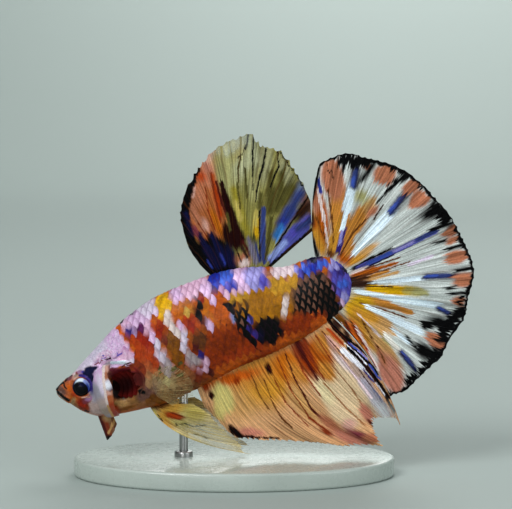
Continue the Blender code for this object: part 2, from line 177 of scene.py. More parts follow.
PAINT = {
    "lavender": "#D8B2DA",
    "pink": "#DCAECC",
    "pearl": "#D6C8DE",
    "bright_pearl": "#E9EAF6",
    "grey_pearl": "#A09094",
    "pale_violet": "#9690D2",
    "violet": "#4E48AA",
    "dark_violet": "#2E2270",
    "deep_blue": "#182C9C",
    "bright_blue": "#3A5CC8",
    "navy": "#0A0C30",
    "ink": "#030304",
    "yellow": "#DDA808",
    "ochre": "#BE842A",
    "pale_ochre": "#C8A048",
    "orange": "#BC5410",
    "orange_brown": "#A85210",
    "orange_red": "#A4380C",
    "red_brown": "#7A2C12",
    "brown": "#5A3012",
    "dull_brown": "#6E4A3C",
    "beige_brown": "#80582E",
    "maroon": "#44100E",
    "dark_maroon": "#1C0203",
    "salmon": "#A8684C",
    "peach": "#C8986C",
    "cream": "#CABA92",
    "pale_yellow": "#BEB06C",
    "olive": "#827C42",
    "dark_olive": "#4A451E",
    "grey_white": "#BCC2C0",
    "blue_white": "#DCECF8",
    "slate": "#56607A",
    "salmon_orange": "#A25A30",
    "bright_orange": "#B86210",
    "pale_orange": "#BE9058",
    "pale_pink": "#C8988A",
    "pale_olive": "#A09C68",
    "yellow_olive": "#93862C",
    "indigo_blue": "#28368C",
    "bright_indigo": "#3C54AE",
    "azure": "#3470B4",
    "slate_blue": "#303C74",
    "slate_violet": "#4A4C9A",
    "grey_violet": "#6E6880",
    "olive_tan": "#B4A254",
    "yellow_ochre": "#C49814",
    "rose": "#B0705E",
    "white": "#E0DCD4",
    "grey_lilac": "#9C96A4",
    "dark_ochre": "#A2680C",
    "grey_olive": "#8A8864",
    "gold_brown": "#B87830",
    "brown_beard": "#7C4C30",
    "brown_violet": "#6E709E",
    "scale_edge": "#4A2440",
    "rust": "#8C3006",
    "gold": "#C08C26",
    "dark_orange": "#7C2C04",
    "deep_red": "#8E2008",
    "olive_brown": "#784408",
    "purple_maroon": "#5A1B50",
    "cream_pink": "#DCC8C4",
    "pearl_pink": "#E2CAD2",
    "indigo": "#241C66",
    "pale_blue": "#8C9CD6",
    "dark_brown": "#2E1A14",
    "orange_flesh": "#A8562E",
    "plum": "#7A3440",
    "beige": "#9C8478",
    "grey_brown": "#66443A",
    "flesh_red": "#5A1A14",
    "mauve_brown": "#704436",
    "cavity_red": "#4E1210",
    "gill_red": "#7C1A16",
    "mauve": "#9A7096",
    "pink_mauve": "#C48CB8",
    "dusk_violet": "#7A6490",
    "pink_grey": "#B49C98",
    "wine": "#6E1A28",
    "lip_plum": "#74404A",
    "soft_tan": "#A27E54",
    "clay": "#8E5A34",
    "straw": "#C4B27C",
    "amber": "#B88A38",
    "sage": "#BCBC94",
    "warm_cream": "#D2B894",
    "pupil": "#040409",
    "stand_pale": "#B4BEB8",
    "stand_shade": "#A8B2AC",
    "steel": "#B8B8B8",
    "dark_steel": "#8E8E8E",
    "room": "#A0ABA7",
}


# ---------- Numbers and shapes ----------


def smooth_curve(points, column=1):
    """A smooth function through the points that never overshoots them, for numbers or arrays."""
    x = np.array([p[0] for p in points], float)
    y = np.array([p[column] for p in points], float)
    step = np.diff(x)
    slope = np.diff(y) / step
    tangent = np.concatenate([slope[:1], np.zeros(len(x) - 2), slope[-1:]])
    for i in range(1, len(x) - 1):
        if slope[i - 1] * slope[i] > 0:
            a = 2 * step[i] + step[i - 1]
            b = step[i] + 2 * step[i - 1]
            tangent[i] = (a + b) / (a / slope[i - 1] + b / slope[i])

    def at(where):
        i = np.clip(np.searchsorted(x, where) - 1, 0, len(step) - 1)
        t = np.clip((where - x[i]) / step[i], 0, 1)
        return (
            (1 + 2 * t) * (1 - t) ** 2 * y[i]
            + t * (1 - t) ** 2 * step[i] * tangent[i]
            + t * t * (3 - 2 * t) * y[i + 1]
            + t * t * (t - 1) * step[i] * tangent[i + 1]
        )

    return at


back_at, belly_at, half_at = (smooth_curve(BODY, n) for n in (1, 2, 3))
back_fullness, belly_fullness = smooth_curve(BACK_FULLNESS), smooth_curve(BELLY_FULLNESS)


def ramp(value, low, high):
    """0 below low, 1 above high, smooth between. low may be above high."""
    t = np.clip((value - low) / (high - low), 0, 1)
    return t * t * (3 - 2 * t)


def bump(value, centre, width):
    return np.exp(-(((value - centre) / width) ** 2))


NEARBY = 1e-3


def hashed(n):
    """A number from 0 to 1 that looks random, for each whole number."""
    return np.modf(np.abs(np.sin(np.asarray(n, float) * 127.1 + 11.7) * 43758.5453))[0]


def body_point(x, turn):
    """Points of the body's surface. turn goes round from the left flank by the back."""
    back, belly, half = back_at(x), belly_at(x), half_at(x)
    c, s = -np.cos(turn), np.sin(turn)
    fullness = np.where(s > 0, back_fullness(x), belly_fullness(x))
    y = half * np.sign(c) * np.abs(c) ** fullness
    return np.stack(np.broadcast_arrays(x, y, (back + belly) / 2 + (back - belly) / 2 * s), -1)


def body_normal(x, turn):
    """Outward normals of the body, square to it."""
    ahead = body_point(np.minimum(x + NEARBY, BODY_END), turn) - body_point(np.maximum(x - NEARBY, 0), turn)
    around = body_point(x, turn + NEARBY) - body_point(x, turn - NEARBY)
    normal = np.cross(ahead, around)
    return normal / np.maximum(np.linalg.norm(normal, axis=-1, keepdims=True), 1e-12)


def flank(x, z):
    """How far out the side of the body is at x and the height z."""
    back, belly = back_at(x), belly_at(x)
    s = np.clip((z - (back + belly) / 2) / ((back - belly) / 2), -1, 1)
    fullness = np.where(s > 0, back_fullness(x), belly_fullness(x))
    return half_at(x) * np.sqrt(1 - s * s) ** fullness


def underside(x, out):
    """The height of the belly at x, this far out from the middle."""
    back, belly = back_at(x), belly_at(x)
    c = np.minimum(out / half_at(x), 1) ** (1 / belly_fullness(x))
    return (back + belly) / 2 - (back - belly) / 2 * np.sqrt(1 - c * c)


def turns_by_length(x, samples=256):
    """Turns round the section at x, from the belly by the left flank, and the girth up to each."""
    turns = np.linspace(-np.pi / 2, 1.5 * np.pi, samples + 1)
    points = body_point(np.full_like(turns, x), turns)
    lengths = np.concatenate([[0], np.cumsum(np.linalg.norm(np.diff(points, axis=0), axis=1))])
    return turns, lengths


def fin_points(root, rays, u, v, bow_at=0.5):
    """Side-view points of a fin: each ray is a quadratic curve from its root to its tip."""
    tip_x, tip_z, bow = (smooth_curve(rays, n)(u) for n in (1, 2, 3))
    root_x, root_z = root(u)
    along_x, along_z = tip_x - root_x, tip_z - root_z
    bent_x = root_x + along_x * bow_at + along_z * bow
    bent_z = root_z + along_z * bow_at - along_x * bow
    near, middle, far = (1 - v) ** 2, 2 * v * (1 - v), v * v
    return (
        root_x * near + bent_x * middle + tip_x * far,
        root_z * near + bent_z * middle + tip_z * far,
    )


# ---------- Meshes ----------


def deselect():
    bpy.ops.object.select_all(action="DESELECT")


def pick(piece):
    """Selects one piece alone and makes it active."""
    deselect()
    piece.select_set(True)
    bpy.context.view_layer.objects.active = piece


def corners(piece):
    flat = np.empty(len(piece.data.vertices) * 3)
    piece.data.vertices.foreach_get("co", flat)
    return flat.reshape(-1, 3)


def move_corners(piece, points):
    piece.data.vertices.foreach_set("co", np.asarray(points, np.float32).ravel())
    piece.data.update()


def in_row(points):
    """Points of the fish's frame, in mm, as points of the row, in metres."""
    turned = np.array(FISH)
    return points @ turned[:3, :3].T + turned[:3, 3]


def in_fish(points):
    turned = np.array(FISH.inverted())
    return points @ turned[:3, :3].T + turned[:3, 3]


def new_piece(name):
    """The primitive just added, under its own name."""
    piece = bpy.context.object
    piece.name = piece.data.name = name
    return piece


def unit_grid(name, across, along):
    """A grid of across by along faces, and its corners as shares from 0 to 1 each way."""
    deselect()
    bpy.ops.mesh.primitive_grid_add(x_subdivisions=across, y_subdivisions=along, size=2)
    piece = new_piece(name)
    flat = corners(piece)
    return piece, (flat[:, 0] + 1) / 2, (flat[:, 1] + 1) / 2


def shaped_grid(name, across, along, place):
    """A grid whose corners go to place(u, v), in the fish's frame."""
    piece, u, v = unit_grid(name, across, along)
    piece.data.uv_layers[0].name = "rays"
    move_corners(piece, in_row(place(u, v)))
    return piece


def corner_of_loop(piece):
    """The corner that each loop of a mesh belongs to."""
    index = np.empty(len(piece.data.loops), int)
    piece.data.loops.foreach_get("vertex_index", index)
    return index


def edit(piece, *steps):
    """Runs edit-mode steps on all of a piece."""
    pick(piece)
    bpy.ops.object.mode_set(mode="EDIT")
    bpy.ops.mesh.select_all(action="SELECT")
    for step in steps:
        step()
    bpy.ops.object.mode_set(mode="OBJECT")


def weld():
    bpy.ops.mesh.remove_doubles(threshold=2e-6)


def face_out():
    bpy.ops.mesh.normals_make_consistent(inside=False)


def apply_modifier(piece, kind, **settings):
    pick(piece)
    modifier = piece.modifiers.new(kind.lower(), kind)
    for name, value in settings.items():
        setattr(modifier, name, value)
    bpy.ops.object.modifier_apply(modifier=modifier.name)


def smooth(piece, degrees=40):
    pick(piece)
    bpy.ops.object.shade_smooth_by_angle(angle=math.radians(degrees))


def write_vectors(piece, name, values):
    layer = piece.data.attributes.new(name, "FLOAT_VECTOR", "POINT")
    layer.data.foreach_set("vector", np.asarray(values, np.float32).ravel())


def leaned(points):
    """Places in the fish's frame, leaned so that markings given for the mid-plane sit right on the flank."""
    x, y, z = points[..., 0], np.abs(points[..., 1]), points[..., 2]
    return np.stack([x - y * (0.14 - 0.003 * x), points[..., 1], z - 0.12 * y], -1)


def write_marks(piece, lean=False):
    """Stores each corner's place in the fish's frame, which the markings are painted by."""
    points = in_fish(corners(piece))
    write_vectors(piece, "mark", leaned(points) if lean else points)


def dress(piece, material, slot, *nodes):
    """Gives a piece its material and its body, and hides the CAD nodes it stands for. The slot is not used.
    """
    piece.data.materials.append(material)
    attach(piece, "root")
    if nodes:
        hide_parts(*nodes)


# ---------- Shader nodes ----------


def srgb(name):
    """Linear colour of a paint."""
    code = PAINT[name].lstrip("#")
    parts = [int(code[i : i + 2], 16) / 255 for i in (0, 2, 4)]
    return (*(p / 12.92 if p <= 0.04045 else ((p + 0.055) / 1.055) ** 2.4 for p in parts), 1.0)


def feed(tree, socket, value):
    """Links another node's output to a socket, or sets its value."""
    if isinstance(value, bpy.types.NodeSocket):
        tree.links.new(value, socket)
    else:
        socket.default_value = value


def add(tree, kind, inputs=None, **settings):
    """A node with its settings. Each input is a value, or another node's output."""
    node = tree.nodes.new(kind)
    for name, value in settings.items():
        setattr(node, name, value)
    for name, value in (inputs or {}).items():
        feed(tree, node.inputs[name], value)
    return node


def calc(tree, operation, *values, clamp=False):
    inputs = dict(enumerate(values))
    return add(tree, "ShaderNodeMath", inputs, operation=operation, use_clamp=clamp).outputs[0]


def times(tree, a, b):
    return calc(tree, "MULTIPLY", a, b)


def vector_calc(tree, operation, a, b=(0, 0, 0), scale=1.0):
    node = add(tree, "ShaderNodeVectorMath", {0: a, 1: b, 3: scale}, operation=operation)
    return node.outputs["Value" if operation == "LENGTH" else "Vector"]


def blend(tree, factor, under, over, mode="MIX"):
    node = add(tree, "ShaderNodeMix", data_type="RGBA", blend_type=mode)
    for slot, value in ((0, factor), (6, under), (7, over)):
        feed(tree, node.inputs[slot], value)
    return node.outputs[2]


def ease(tree, value, low, high, to_low=0.0, to_high=1.0):
    """A smooth step of a value, as ramp() does."""
    inputs = {0: value, 1: low, 2: high, 3: to_low, 4: to_high}
    return add(tree, "ShaderNodeMapRange", inputs, interpolation_type="SMOOTHSTEP", clamp=False).outputs[0]


def axes(tree, vector):
    """The outputs X, Y and Z of a vector."""
    return add(tree, "ShaderNodeSeparateXYZ", {0: vector}).outputs


def toned(tree, colour, tone):
    """A colour made lighter or darker by a value."""
    shade = add(tree, "ShaderNodeCombineColor", {0: tone, 1: tone, 2: tone}).outputs[0]
    return blend(tree, 1.0, colour, shade, "MULTIPLY")


def noise(tree, place, scale, detail=2.0, roughness=0.5, output=0):
    inputs = {"Vector": place, "Scale": scale, "Detail": detail, "Roughness": roughness}
    return add(tree, "ShaderNodeTexNoise", inputs).outputs[output]


VECTOR, NUMBER = "NodeSocketVector", "NodeSocketFloat"
ORIGIN = (0, 0, 0)


def new_group(name, inputs, outputs):
    """(tree, what it is given, what it puts out), for inputs by value and outputs by kind."""
    tree = bpy.data.node_groups.new(name, "ShaderNodeTree")
    for label, value in inputs.items():
        kind = VECTOR if isinstance(value, tuple) else NUMBER
        socket = tree.interface.new_socket(label, in_out="INPUT", socket_type=kind)
        socket.default_value = value
    for label, kind in outputs.items():
        tree.interface.new_socket(label, in_out="OUTPUT", socket_type=kind)
    given = tree.nodes.new("NodeGroupInput").outputs
    return tree, given, tree.nodes.new("NodeGroupOutput").inputs


def soften(tree, given, result, reach):
    """Ends a mask: 1 where reach is well under 1, and 0 where it is well over."""
    low = calc(tree, "ADD", 1.0, given["Edge"])
    high = calc(tree, "SUBTRACT", 1.0, given["Edge"])
    tree.links.new(ease(tree, reach, low, high), result["Mask"])


def patch_group():
    """Mask of one oval patch of colour: 1 inside, 0 outside, over a soft edge."""
    tree, given, result = new_group(
        "patch_mask",
        {"Place": ORIGIN, "Centre": ORIGIN, "Half Size": (1, 1, 1), "Angle": 0.0, "Edge": 0.2},
        {"Mask": NUMBER},
    )
    off = vector_calc(tree, "SUBTRACT", given["Place"], given["Centre"])
    turned = add(
        tree,
        "ShaderNodeVectorRotate",
        {"Vector": off, "Angle": given["Angle"]},
        rotation_type="Y_AXIS",
    ).outputs[0]
    shrunk = vector_calc(tree, "DIVIDE", turned, given["Half Size"])
    flat = vector_calc(tree, "MULTIPLY", shrunk, (1, 0, 1))
    reach = vector_calc(tree, "LENGTH", flat)
    soften(tree, given, result, reach)
    return tree


def stroke_group():
    """Mask of one brush stroke: within half its width of a straight line, over a soft edge."""
    tree, given, result = new_group(
        "stroke_mask",
        {"Place": ORIGIN, "Start": ORIGIN, "Way": (1, 0, 0), "Half Width": 0.3, "Edge": 0.2},
        {"Mask": NUMBER},
    )
    way = given["Way"]
    off = vector_calc(tree, "SUBTRACT", given["Place"], given["Start"])
    off = vector_calc(tree, "MULTIPLY", off, (1, 0, 1))
    ahead, whole = (
        add(tree, "ShaderNodeVectorMath", {0: part, 1: way}, operation="DOT_PRODUCT").outputs["Value"]
        for part in (off, way)
    )
    share = calc(tree, "MINIMUM", calc(tree, "MAXIMUM", calc(tree, "DIVIDE", ahead, whole), 0.0), 1.0)
    nearest = vector_calc(tree, "SCALE", way, scale=share)
    reach = vector_calc(tree, "LENGTH", vector_calc(tree, "SUBTRACT", off, nearest))
    reach = calc(tree, "DIVIDE", reach, given["Half Width"])
    soften(tree, given, result, reach)
    return tree


def ray_lines_group():
    """Thin lines along the rays of a fin, which wander a little."""
    tree, given, result = new_group(
        "ray_lines",
        {"Rays": ORIGIN, "Count": 20.0, "Width": 0.2, "Wander": 0.3},
        {"Line": NUMBER},
    )
    split = axes(tree, given["Rays"])
    across = times(tree, split["X"], given["Count"])
    where = add(tree, "ShaderNodeCombineXYZ", {0: across, 1: split["Y"]}).outputs[0]
    stray = noise(tree, vector_calc(tree, "MULTIPLY", where, (0.7, 3.0, 1)), 1.0, 1.0)
    stray = times(tree, calc(tree, "SUBTRACT", stray, 0.5), given["Wander"])
    share = calc(tree, "FRACT", calc(tree, "ADD", across, stray))
    off = calc(tree, "ABSOLUTE", calc(tree, "SUBTRACT", share, 0.5))
    edge = calc(tree, "SUBTRACT", 0.5, times(tree, given["Width"], 0.5))
    tree.links.new(ease(tree, off, edge, 0.5), result["Line"])
    return tree


def warp_group():
    """A place moved by noise, so that the edge of a patch is ragged."""
    tree, given, result = new_group(
        "ragged_place",
        {"Place": ORIGIN, "Amount": 1.0, "Scale": 1.0},
        {"Place": VECTOR},
    )
    cloud = noise(tree, given["Place"], given["Scale"], output="Color")
    off = vector_calc(tree, "SUBTRACT", cloud, (0.5, 0.5, 0.5))
    pushed = vector_calc(tree, "SCALE", off, scale=given["Amount"])
    moved = vector_calc(tree, "ADD", given["Place"], pushed)
    tree.links.new(moved, result["Place"])
    return tree


def streak_group():
    """A place moved along the rays by noise that is stretched along them."""
    tree, given, result = new_group(
        "streaked_place",
        {"Place": ORIGIN, "Along": ORIGIN, "Rays": ORIGIN, "Count": 40.0, "Amount": 3.0},
        {"Place": VECTOR, "Streak": NUMBER},
    )
    split = axes(tree, given["Rays"])
    across = times(tree, split["X"], given["Count"])
    down = times(tree, split["Y"], 1.6)
    where = add(tree, "ShaderNodeCombineXYZ", {0: across, 1: down}).outputs[0]
    streak = noise(tree, where, 1.0, 2.0, 0.6)
    push = times(tree, calc(tree, "SUBTRACT", streak, 0.5), given["Amount"])
    moved = vector_calc(tree, "SCALE", given["Along"], scale=push)
    place = vector_calc(tree, "ADD", given["Place"], moved)
    tree.links.new(place, result["Place"])
    tree.links.new(streak, result["Streak"])
    return tree


PATCH = patch_group()
STROKE = stroke_group()
RAY_LINES = ray_lines_group()
RAGGED = warp_group()
STREAKED = streak_group()


def grouped(tree, group, **inputs):
    """Places a group, its inputs given by name with _ for a space."""
    node = tree.nodes.new("ShaderNodeGroup")
    node.node_tree = group
    for name, value in inputs.items():
        feed(tree, node.inputs[name.replace("_", " ")], value)
    return node


def roughen(tree, place, amount, scale):
    """A place moved by up to half the amount, by noise that is finer at a larger scale."""
    return grouped(tree, RAGGED, Place=place, Amount=amount, Scale=scale).outputs[0]


def patch_mask(tree, place, x, z, half_x, half_z, edge=0.5, angle=0.0):
    return grouped(
        tree,
        PATCH,
        Place=place,
        Centre=(x, 0, z),
        Half_Size=(half_x, 1, half_z),
        Angle=math.radians(angle),
        Edge=edge,
    ).outputs[0]


def stroke_mask(tree, place, start, end, width, edge):
    return grouped(
        tree,
        STROKE,
        Place=place,
        Start=(start[0], 0, start[1]),
        Way=(end[0] - start[0], 0, end[1] - start[1]),
        Half_Width=width / 2,
        Edge=edge,
    ).outputs[0]


def mask_of(tree, place, shape):
    """The mask of (x, z, half width, half height, edge, angle) or of (start, end, width, edge)."""
    return (stroke_mask if isinstance(shape[0], tuple) else patch_mask)(tree, place, *shape)


def stroke(points, width, edge=0.5):
    """The straight parts of a brush stroke through points. A list of widths gives one for each part."""
    parts = list(zip(points, points[1:]))
    widths = width if isinstance(width, list) else [width] * len(parts)
    return [(start, end, each, edge) for (start, end), each in zip(parts, widths)]


def paint(tree, colour, place, rows):
    """Lays paint over a colour, in the rows' order.

    A row is a tone and then an oval patch (x, z, half width, half height, edge, angle in degrees)
    or a stroke (points, width, edge). An edge is 0 for a sharp one and 1 for the softest.
    """
    for tone, *shape in rows:
        for part in stroke(*shape) if isinstance(shape[0], list) else [shape]:
            colour = blend(tree, mask_of(tree, place, part), colour, srgb(tone))
    return colour


def blue_tip(x0, z0, x1, z1, width):
    """The blue end of a pale ray: navy, with a lighter thread to one side."""
    dx, dz = x1 - x0, z1 - z0
    off = 0.2 * width / math.hypot(dx, dz)
    near = (x0 - dz * off, z0 + dx * off)
    middle, far = ((near[0] + dx * share, near[1] + dz * share) for share in (0.4, 0.75))
    return [
        ("navy", [(x0, z0), (x1, z1)], width, 0.75),
        ("slate_blue", [near, far], width * 0.62, 0.9),
        ("bright_indigo", [near, middle], width * 0.34, 0.9),
    ]


def new_material(name, **sockets):
    """(material, its tree, its Principled shader) with constant sockets set."""
    material = bpy.data.materials.new(name)
    material.use_nodes = True
    tree = material.node_tree
    tree.nodes.clear()
    shader = tree.nodes.new("ShaderNodeBsdfPrincipled")
    output = tree.nodes.new("ShaderNodeOutputMaterial")
    tree.links.new(shader.outputs[0], output.inputs["Surface"])
    for label, value in sockets.items():
        shader.inputs[label.replace("_", " ")].default_value = value
    return material, tree, shader


def join(tree, shader, **links):
    for label, value in links.items():
        tree.links.new(value, shader.inputs[label.replace("_", " ")])


def attribute(tree, name):
    return add(tree, "ShaderNodeAttribute", attribute_name=name).outputs["Vector"]


def own_uv(tree, name="rays"):
    return add(tree, "ShaderNodeUVMap", uv_map=name).outputs[0]


def relief(tree, height, distance, strength=1.0):
    inputs = {"Height": height, "Distance": distance * MM, "Strength": strength}
    return add(tree, "ShaderNodeBump", inputs).outputs[0]


# ---------- Markings of the body ----------
# The rows are those of paint(), in millimetres of the fish's frame.

BODY_BASE = [
    ("rust", 29, -3, 9, 4.4, 0.22), ("brown", 17, -5.6, 7, 2, 0.4), ("dark_ochre", 37, 2.6, 5.2, 3.3, 0.3),
    ("gold", 40.4, 4.8, 2.6, 1.7, 0.35), ("gold", 32.6, 5.1, 2.2, 0.9, 0.4),
    ("gold", 38.6, 5.6, 0.9, 1.6, 0.4), ("rust", 41.3, -2.4, 4.8, 2, 0.3, 6),
    ("orange", 44, -3.2, 1.8, 0.8, 0.4, 10), ("orange", 37.4, -4.1, 3, 0.6, 0.6, 4),
    ("orange", 26, 5.4, 4.6, 3.4, 0.3), ("bright_orange", 27.6, 4.6, 1.6, 2.2, 0.6),
    ("bright_orange", 23.8, 6.2, 1.6, 1.4, 0.6), ("pale_ochre", 24.4, 5.2, 0.6, 0.8, 0.6),
    ("orange_red", 24, 3.4, 1.4, 1.2), ("orange", 29.2, 4.4, 1.4, 3.4, 0.4),
    ("dark_orange", 28.4, -1.4, 2.8, 1.7, 0.7, -10), ("orange_red", 30.2, -4.1, 2.8, 0.9, 0.6, 4),
    ("orange", 29.6, -4.9, 3, 0.5, 0.6, 4), ("orange", 26.8, -5.6, 2.6, 0.7, 0.6, -4),
]
FLANK_PATCHES = [
    ("mauve_brown", 16.7, -0.7, 0.9, 1.4),
    # From the shoulder to the first pale bar.
    ("orange_red", 15.4, 0.8, 1.9, 3.6, 0.25), ("deep_red", 16.4, 2.9, 0.9, 1.5),
    ("orange", 13, 5.3, 0.6, 1.3, 0.35, 28), ("orange_red", 13.9, 3.6, 0.9, 1.5, 0.4),
    ("lavender", 16.2, 6.7, 3.6, 2.2, 0.16, 20), ("pink", 17, 4.9, 0.9, 0.9, 0.4),
    ("pearl", 18.3, 8, 1.7, 1.4, 0.4, 18), ("pink", 14.1, 6.2, 0.9, 0.9, 0.4),
    ("orange_red", 19, 4.4, 1.2, 1.7, 0.35), ("deep_red", 19.2, 3.3, 0.8, 1.3, 0.4),
    ("orange", 18.9, 5.9, 1.1, 0.6, 0.4), ("olive_brown", 20.3, 1.2, 1.3, 2.3, 0.35),
    ("olive_brown", 20.2, -1, 1, 1.6, 0.4), ("maroon", 17.4, 1.7, 0.3, 0.9, 0.5, 15),
    ("yellow", 21, 7.8, 1.35, 1.75, 0.18), ("yellow", 20.2, 6.4, 0.6, 0.8, 0.4),
    # The first pale bar.
    ("lavender", 17.6, 3.4, 0.55, 1.2, 0.2), ("pearl", 17.8, 1.5, 0.55, 1.1, 0.3, -10),
    ("pearl", 17.9, -0.3, 1, 1.1, 0.3), ("red_brown", 19, 1.7, 0.4, 1),
    ("grey_pearl", 18.2, -2.3, 0.95, 1.6, 0.35),
    # The second pale bar.
    ("cream_pink", 20.8, 5.3, 0.75, 1.1, 0.2, 12), ("cream_pink", 21.3, 3.2, 0.7, 1.3, 0.25, 10),
    ("lavender", 22.4, 3.3, 0.4, 0.8, 0.3), ("pearl", 22.5, 1.6, 0.55, 1.1, 0.25),
    ("pearl", 22, 0.1, 0.6, 1, 0.25, -10), ("grey_pearl", 22.4, -2.2, 0.9, 1.3, 0.3),
    ("grey_pearl", 23.3, -2.6, 0.6, 0.9, 0.3, -20), ("pink", 24.1, -3.4, 0.6, 0.85, 0.3),
    ("pink", 23.3, -4.5, 0.9, 0.6, 0.4, 20), ("indigo", 24.2, -1.9, 0.55, 0.6, 0.4),
    ("red_brown", 22.2, -5.1, 1.3, 1, 0.5, -20), ("maroon", 24.5, -5.2, 0.4, 0.8),
    # The orange field behind it.
    ("brown", 24.5, 0.3, 1.4, 1.6, 0.4), ("maroon", 23.7, -0.5, 0.5, 0.8),
    ("deep_red", 24, 2.9, 0.85, 1.4, 0.4), ("maroon", 25.9, 2.9, 0.6, 1),
    ("deep_red", 26.7, 6.9, 0.75, 0.8), ("ink", 25.55, 4.2, 0.42, 1.35, 0.3, 8),
    ("ink", 26.35, 5.85, 0.42, 0.6, 0.3, 20), ("maroon", 25.9, 7.1, 0.2, 0.5, 0.4),
    ("maroon", 28.8, 2.2, 0.25, 0.5), ("maroon", 29.5, 1.5, 0.22, 0.4),
    ("lavender", 28.6, 5.6, 0.66, 1, 0.14), ("lavender", 26.9, 2, 0.72, 1.4, 0.14),
    ("lavender", 23.4, 8.6, 1.1, 1.4, 0.2), ("pink", 25.6, 8.6, 1.3, 1.7, 0.2),
    ("lavender", 28, 8.5, 1.1, 1.9, 0.2), ("pink", 26.8, 9.4, 1.6, 0.8, 0.3),
    # The blue saddle under the dorsal fin.
    ("pink_mauve", 30.9, 7.1, 0.9, 0.8, 0.2), ("mauve", 31.4, 6.6, 0.5, 0.5, 0.4),
    ("pink", 31, 5.9, 0.5, 0.5, 0.25), ("pink", 32.6, 6, 0.45, 0.5, 0.25),
    ("violet", 31.9, 6.8, 0.55, 0.7, 0.3), ("dark_violet", 29.4, 8, 0.6, 1, 0.4),
    ("deep_blue", 30.4, 8.9, 1.3, 1.6, 0.15), ("bright_blue", 32.1, 8.9, 1.3, 1.5, 0.15),
    ("deep_blue", 32.4, 7.2, 0.65, 1, 0.25), ("bright_blue", 31, 8.3, 0.5, 0.5, 0.4),
    ("lavender", 34.2, 7.4, 1.3, 2.2, 0.2), ("lavender", 33.8, 9.3, 0.8, 0.6, 0.3),
    ("pale_violet", 36.2, 7.3, 1.75, 2.3, 0.2), ("pale_violet", 37.4, 8.5, 0.9, 0.8, 0.3, -25),
    ("violet", 37.4, 6, 0.7, 1.1, 0.25), ("salmon", 38.6, 7.2, 0.6, 0.7, 0.3),
    ("pearl_pink", 40.8, 6.9, 1.9, 1.15, 0.2, -8), ("salmon", 40.9, 5.5, 0.5, 0.55, 0.3),
    ("pearl_pink", 42.6, 6.4, 0.8, 0.9, 0.3), ("pale_violet", 43.1, 6.6, 0.45, 0.6, 0.3),
    # The blue rear of the back.
    ("deep_blue", 45.4, 6, 2.5, 1.35, 0.18), ("bright_blue", 47.2, 5.9, 0.8, 0.7, 0.4),
    ("bright_blue", 44, 6.3, 0.4, 0.7), ("navy", 43.8, 4.5, 0.9, 0.9, 0.3),
    ("bright_blue", 44.7, 5, 0.35, 0.6, 0.3), ("violet", 43.1, 5.1, 0.45, 0.6, 0.3),
    ("bright_blue", 46.3, 5.3, 0.3, 0.4, 0.3), ("navy", 46.3, 7.2, 1.7, 0.55, 0.4, 5),
    # The netted scales, the black blotch and the cream scale.
    ("ink", 35.6, -1.7, 2.3, 2.35, 0.12), ("navy", 33.9, -1.9, 0.6, 0.8), ("ink", 30.8, 3.8, 0.5, 0.7, 0.3),
    ("ink", [(30.5, 4.4), (31.4, 1.9), (32, -0.8), (33.1, -4.2)], 0.62, 0.3),
    ("ink", [(33.1, 4.1), (32.2, 2), (31.7, 0)], 0.5, 0.3), ("ink", 31.8, 4.2, 0.35, 0.5, 0.4),
    ("pale_blue", 30.9, 1.9, 0.5, 0.85, 0.2), ("violet", 33.4, 1.3, 0.45, 0.9, 0.3),
    ("indigo", 32.8, -0.6, 0.35, 0.6, 0.4), ("dull_brown", 32.2, 0.9, 0.3, 0.7, 0.4),
    ("dark_violet", 33.3, -1.7, 0.3, 0.5, 0.4), ("cream_pink", 39.6, 1.4, 0.6, 1.5, 0.2, -18),
    ("cream_pink", 38.9, 0, 0.6, 0.6, 0.4), ("dull_brown", 44.3, 1.6, 3.5, 2.9, 0.14),
    ("dark_brown", 46.4, -0.6, 1.5, 2.6, 0.3), ("ink", 40.5, -0.1, 0.4, 0.6, 0.3),
    ("dull_brown", 45.2, 3.8, 2.6, 0.9, 0.3), ("ink", 46.2, 4.2, 0.7, 0.5, 0.4),
    ("ink", 46.2, -2.8, 1, 0.9, 0.4),
    # The end of the tail, in front of its fin.
    ("violet", 49.6, 2.2, 1.9, 5, 0.1), ("dark_brown", 47.2, -3.2, 1.2, 1.2, 0.4),
    ("pale_violet", 48.9, 5.2, 0.8, 0.9, 0.25), ("navy", 50.3, 3.9, 0.6, 0.7, 0.3),
    ("indigo", 49.3, 3.6, 0.5, 0.8, 0.4), ("violet", 48.3, 3.1, 0.45, 1.3, 0.3),
    ("bright_blue", 49.5, 1.6, 0.9, 0.9, 0.25), ("violet", 48.6, 0.5, 0.55, 0.9, 0.3),
    ("pale_violet", 49.1, -0.4, 0.5, 0.9, 0.3), ("lavender", 48.1, -1.4, 0.7, 0.7, 0.25),
    ("violet", 47.7, -1.2, 0.4, 0.5, 0.3),
]
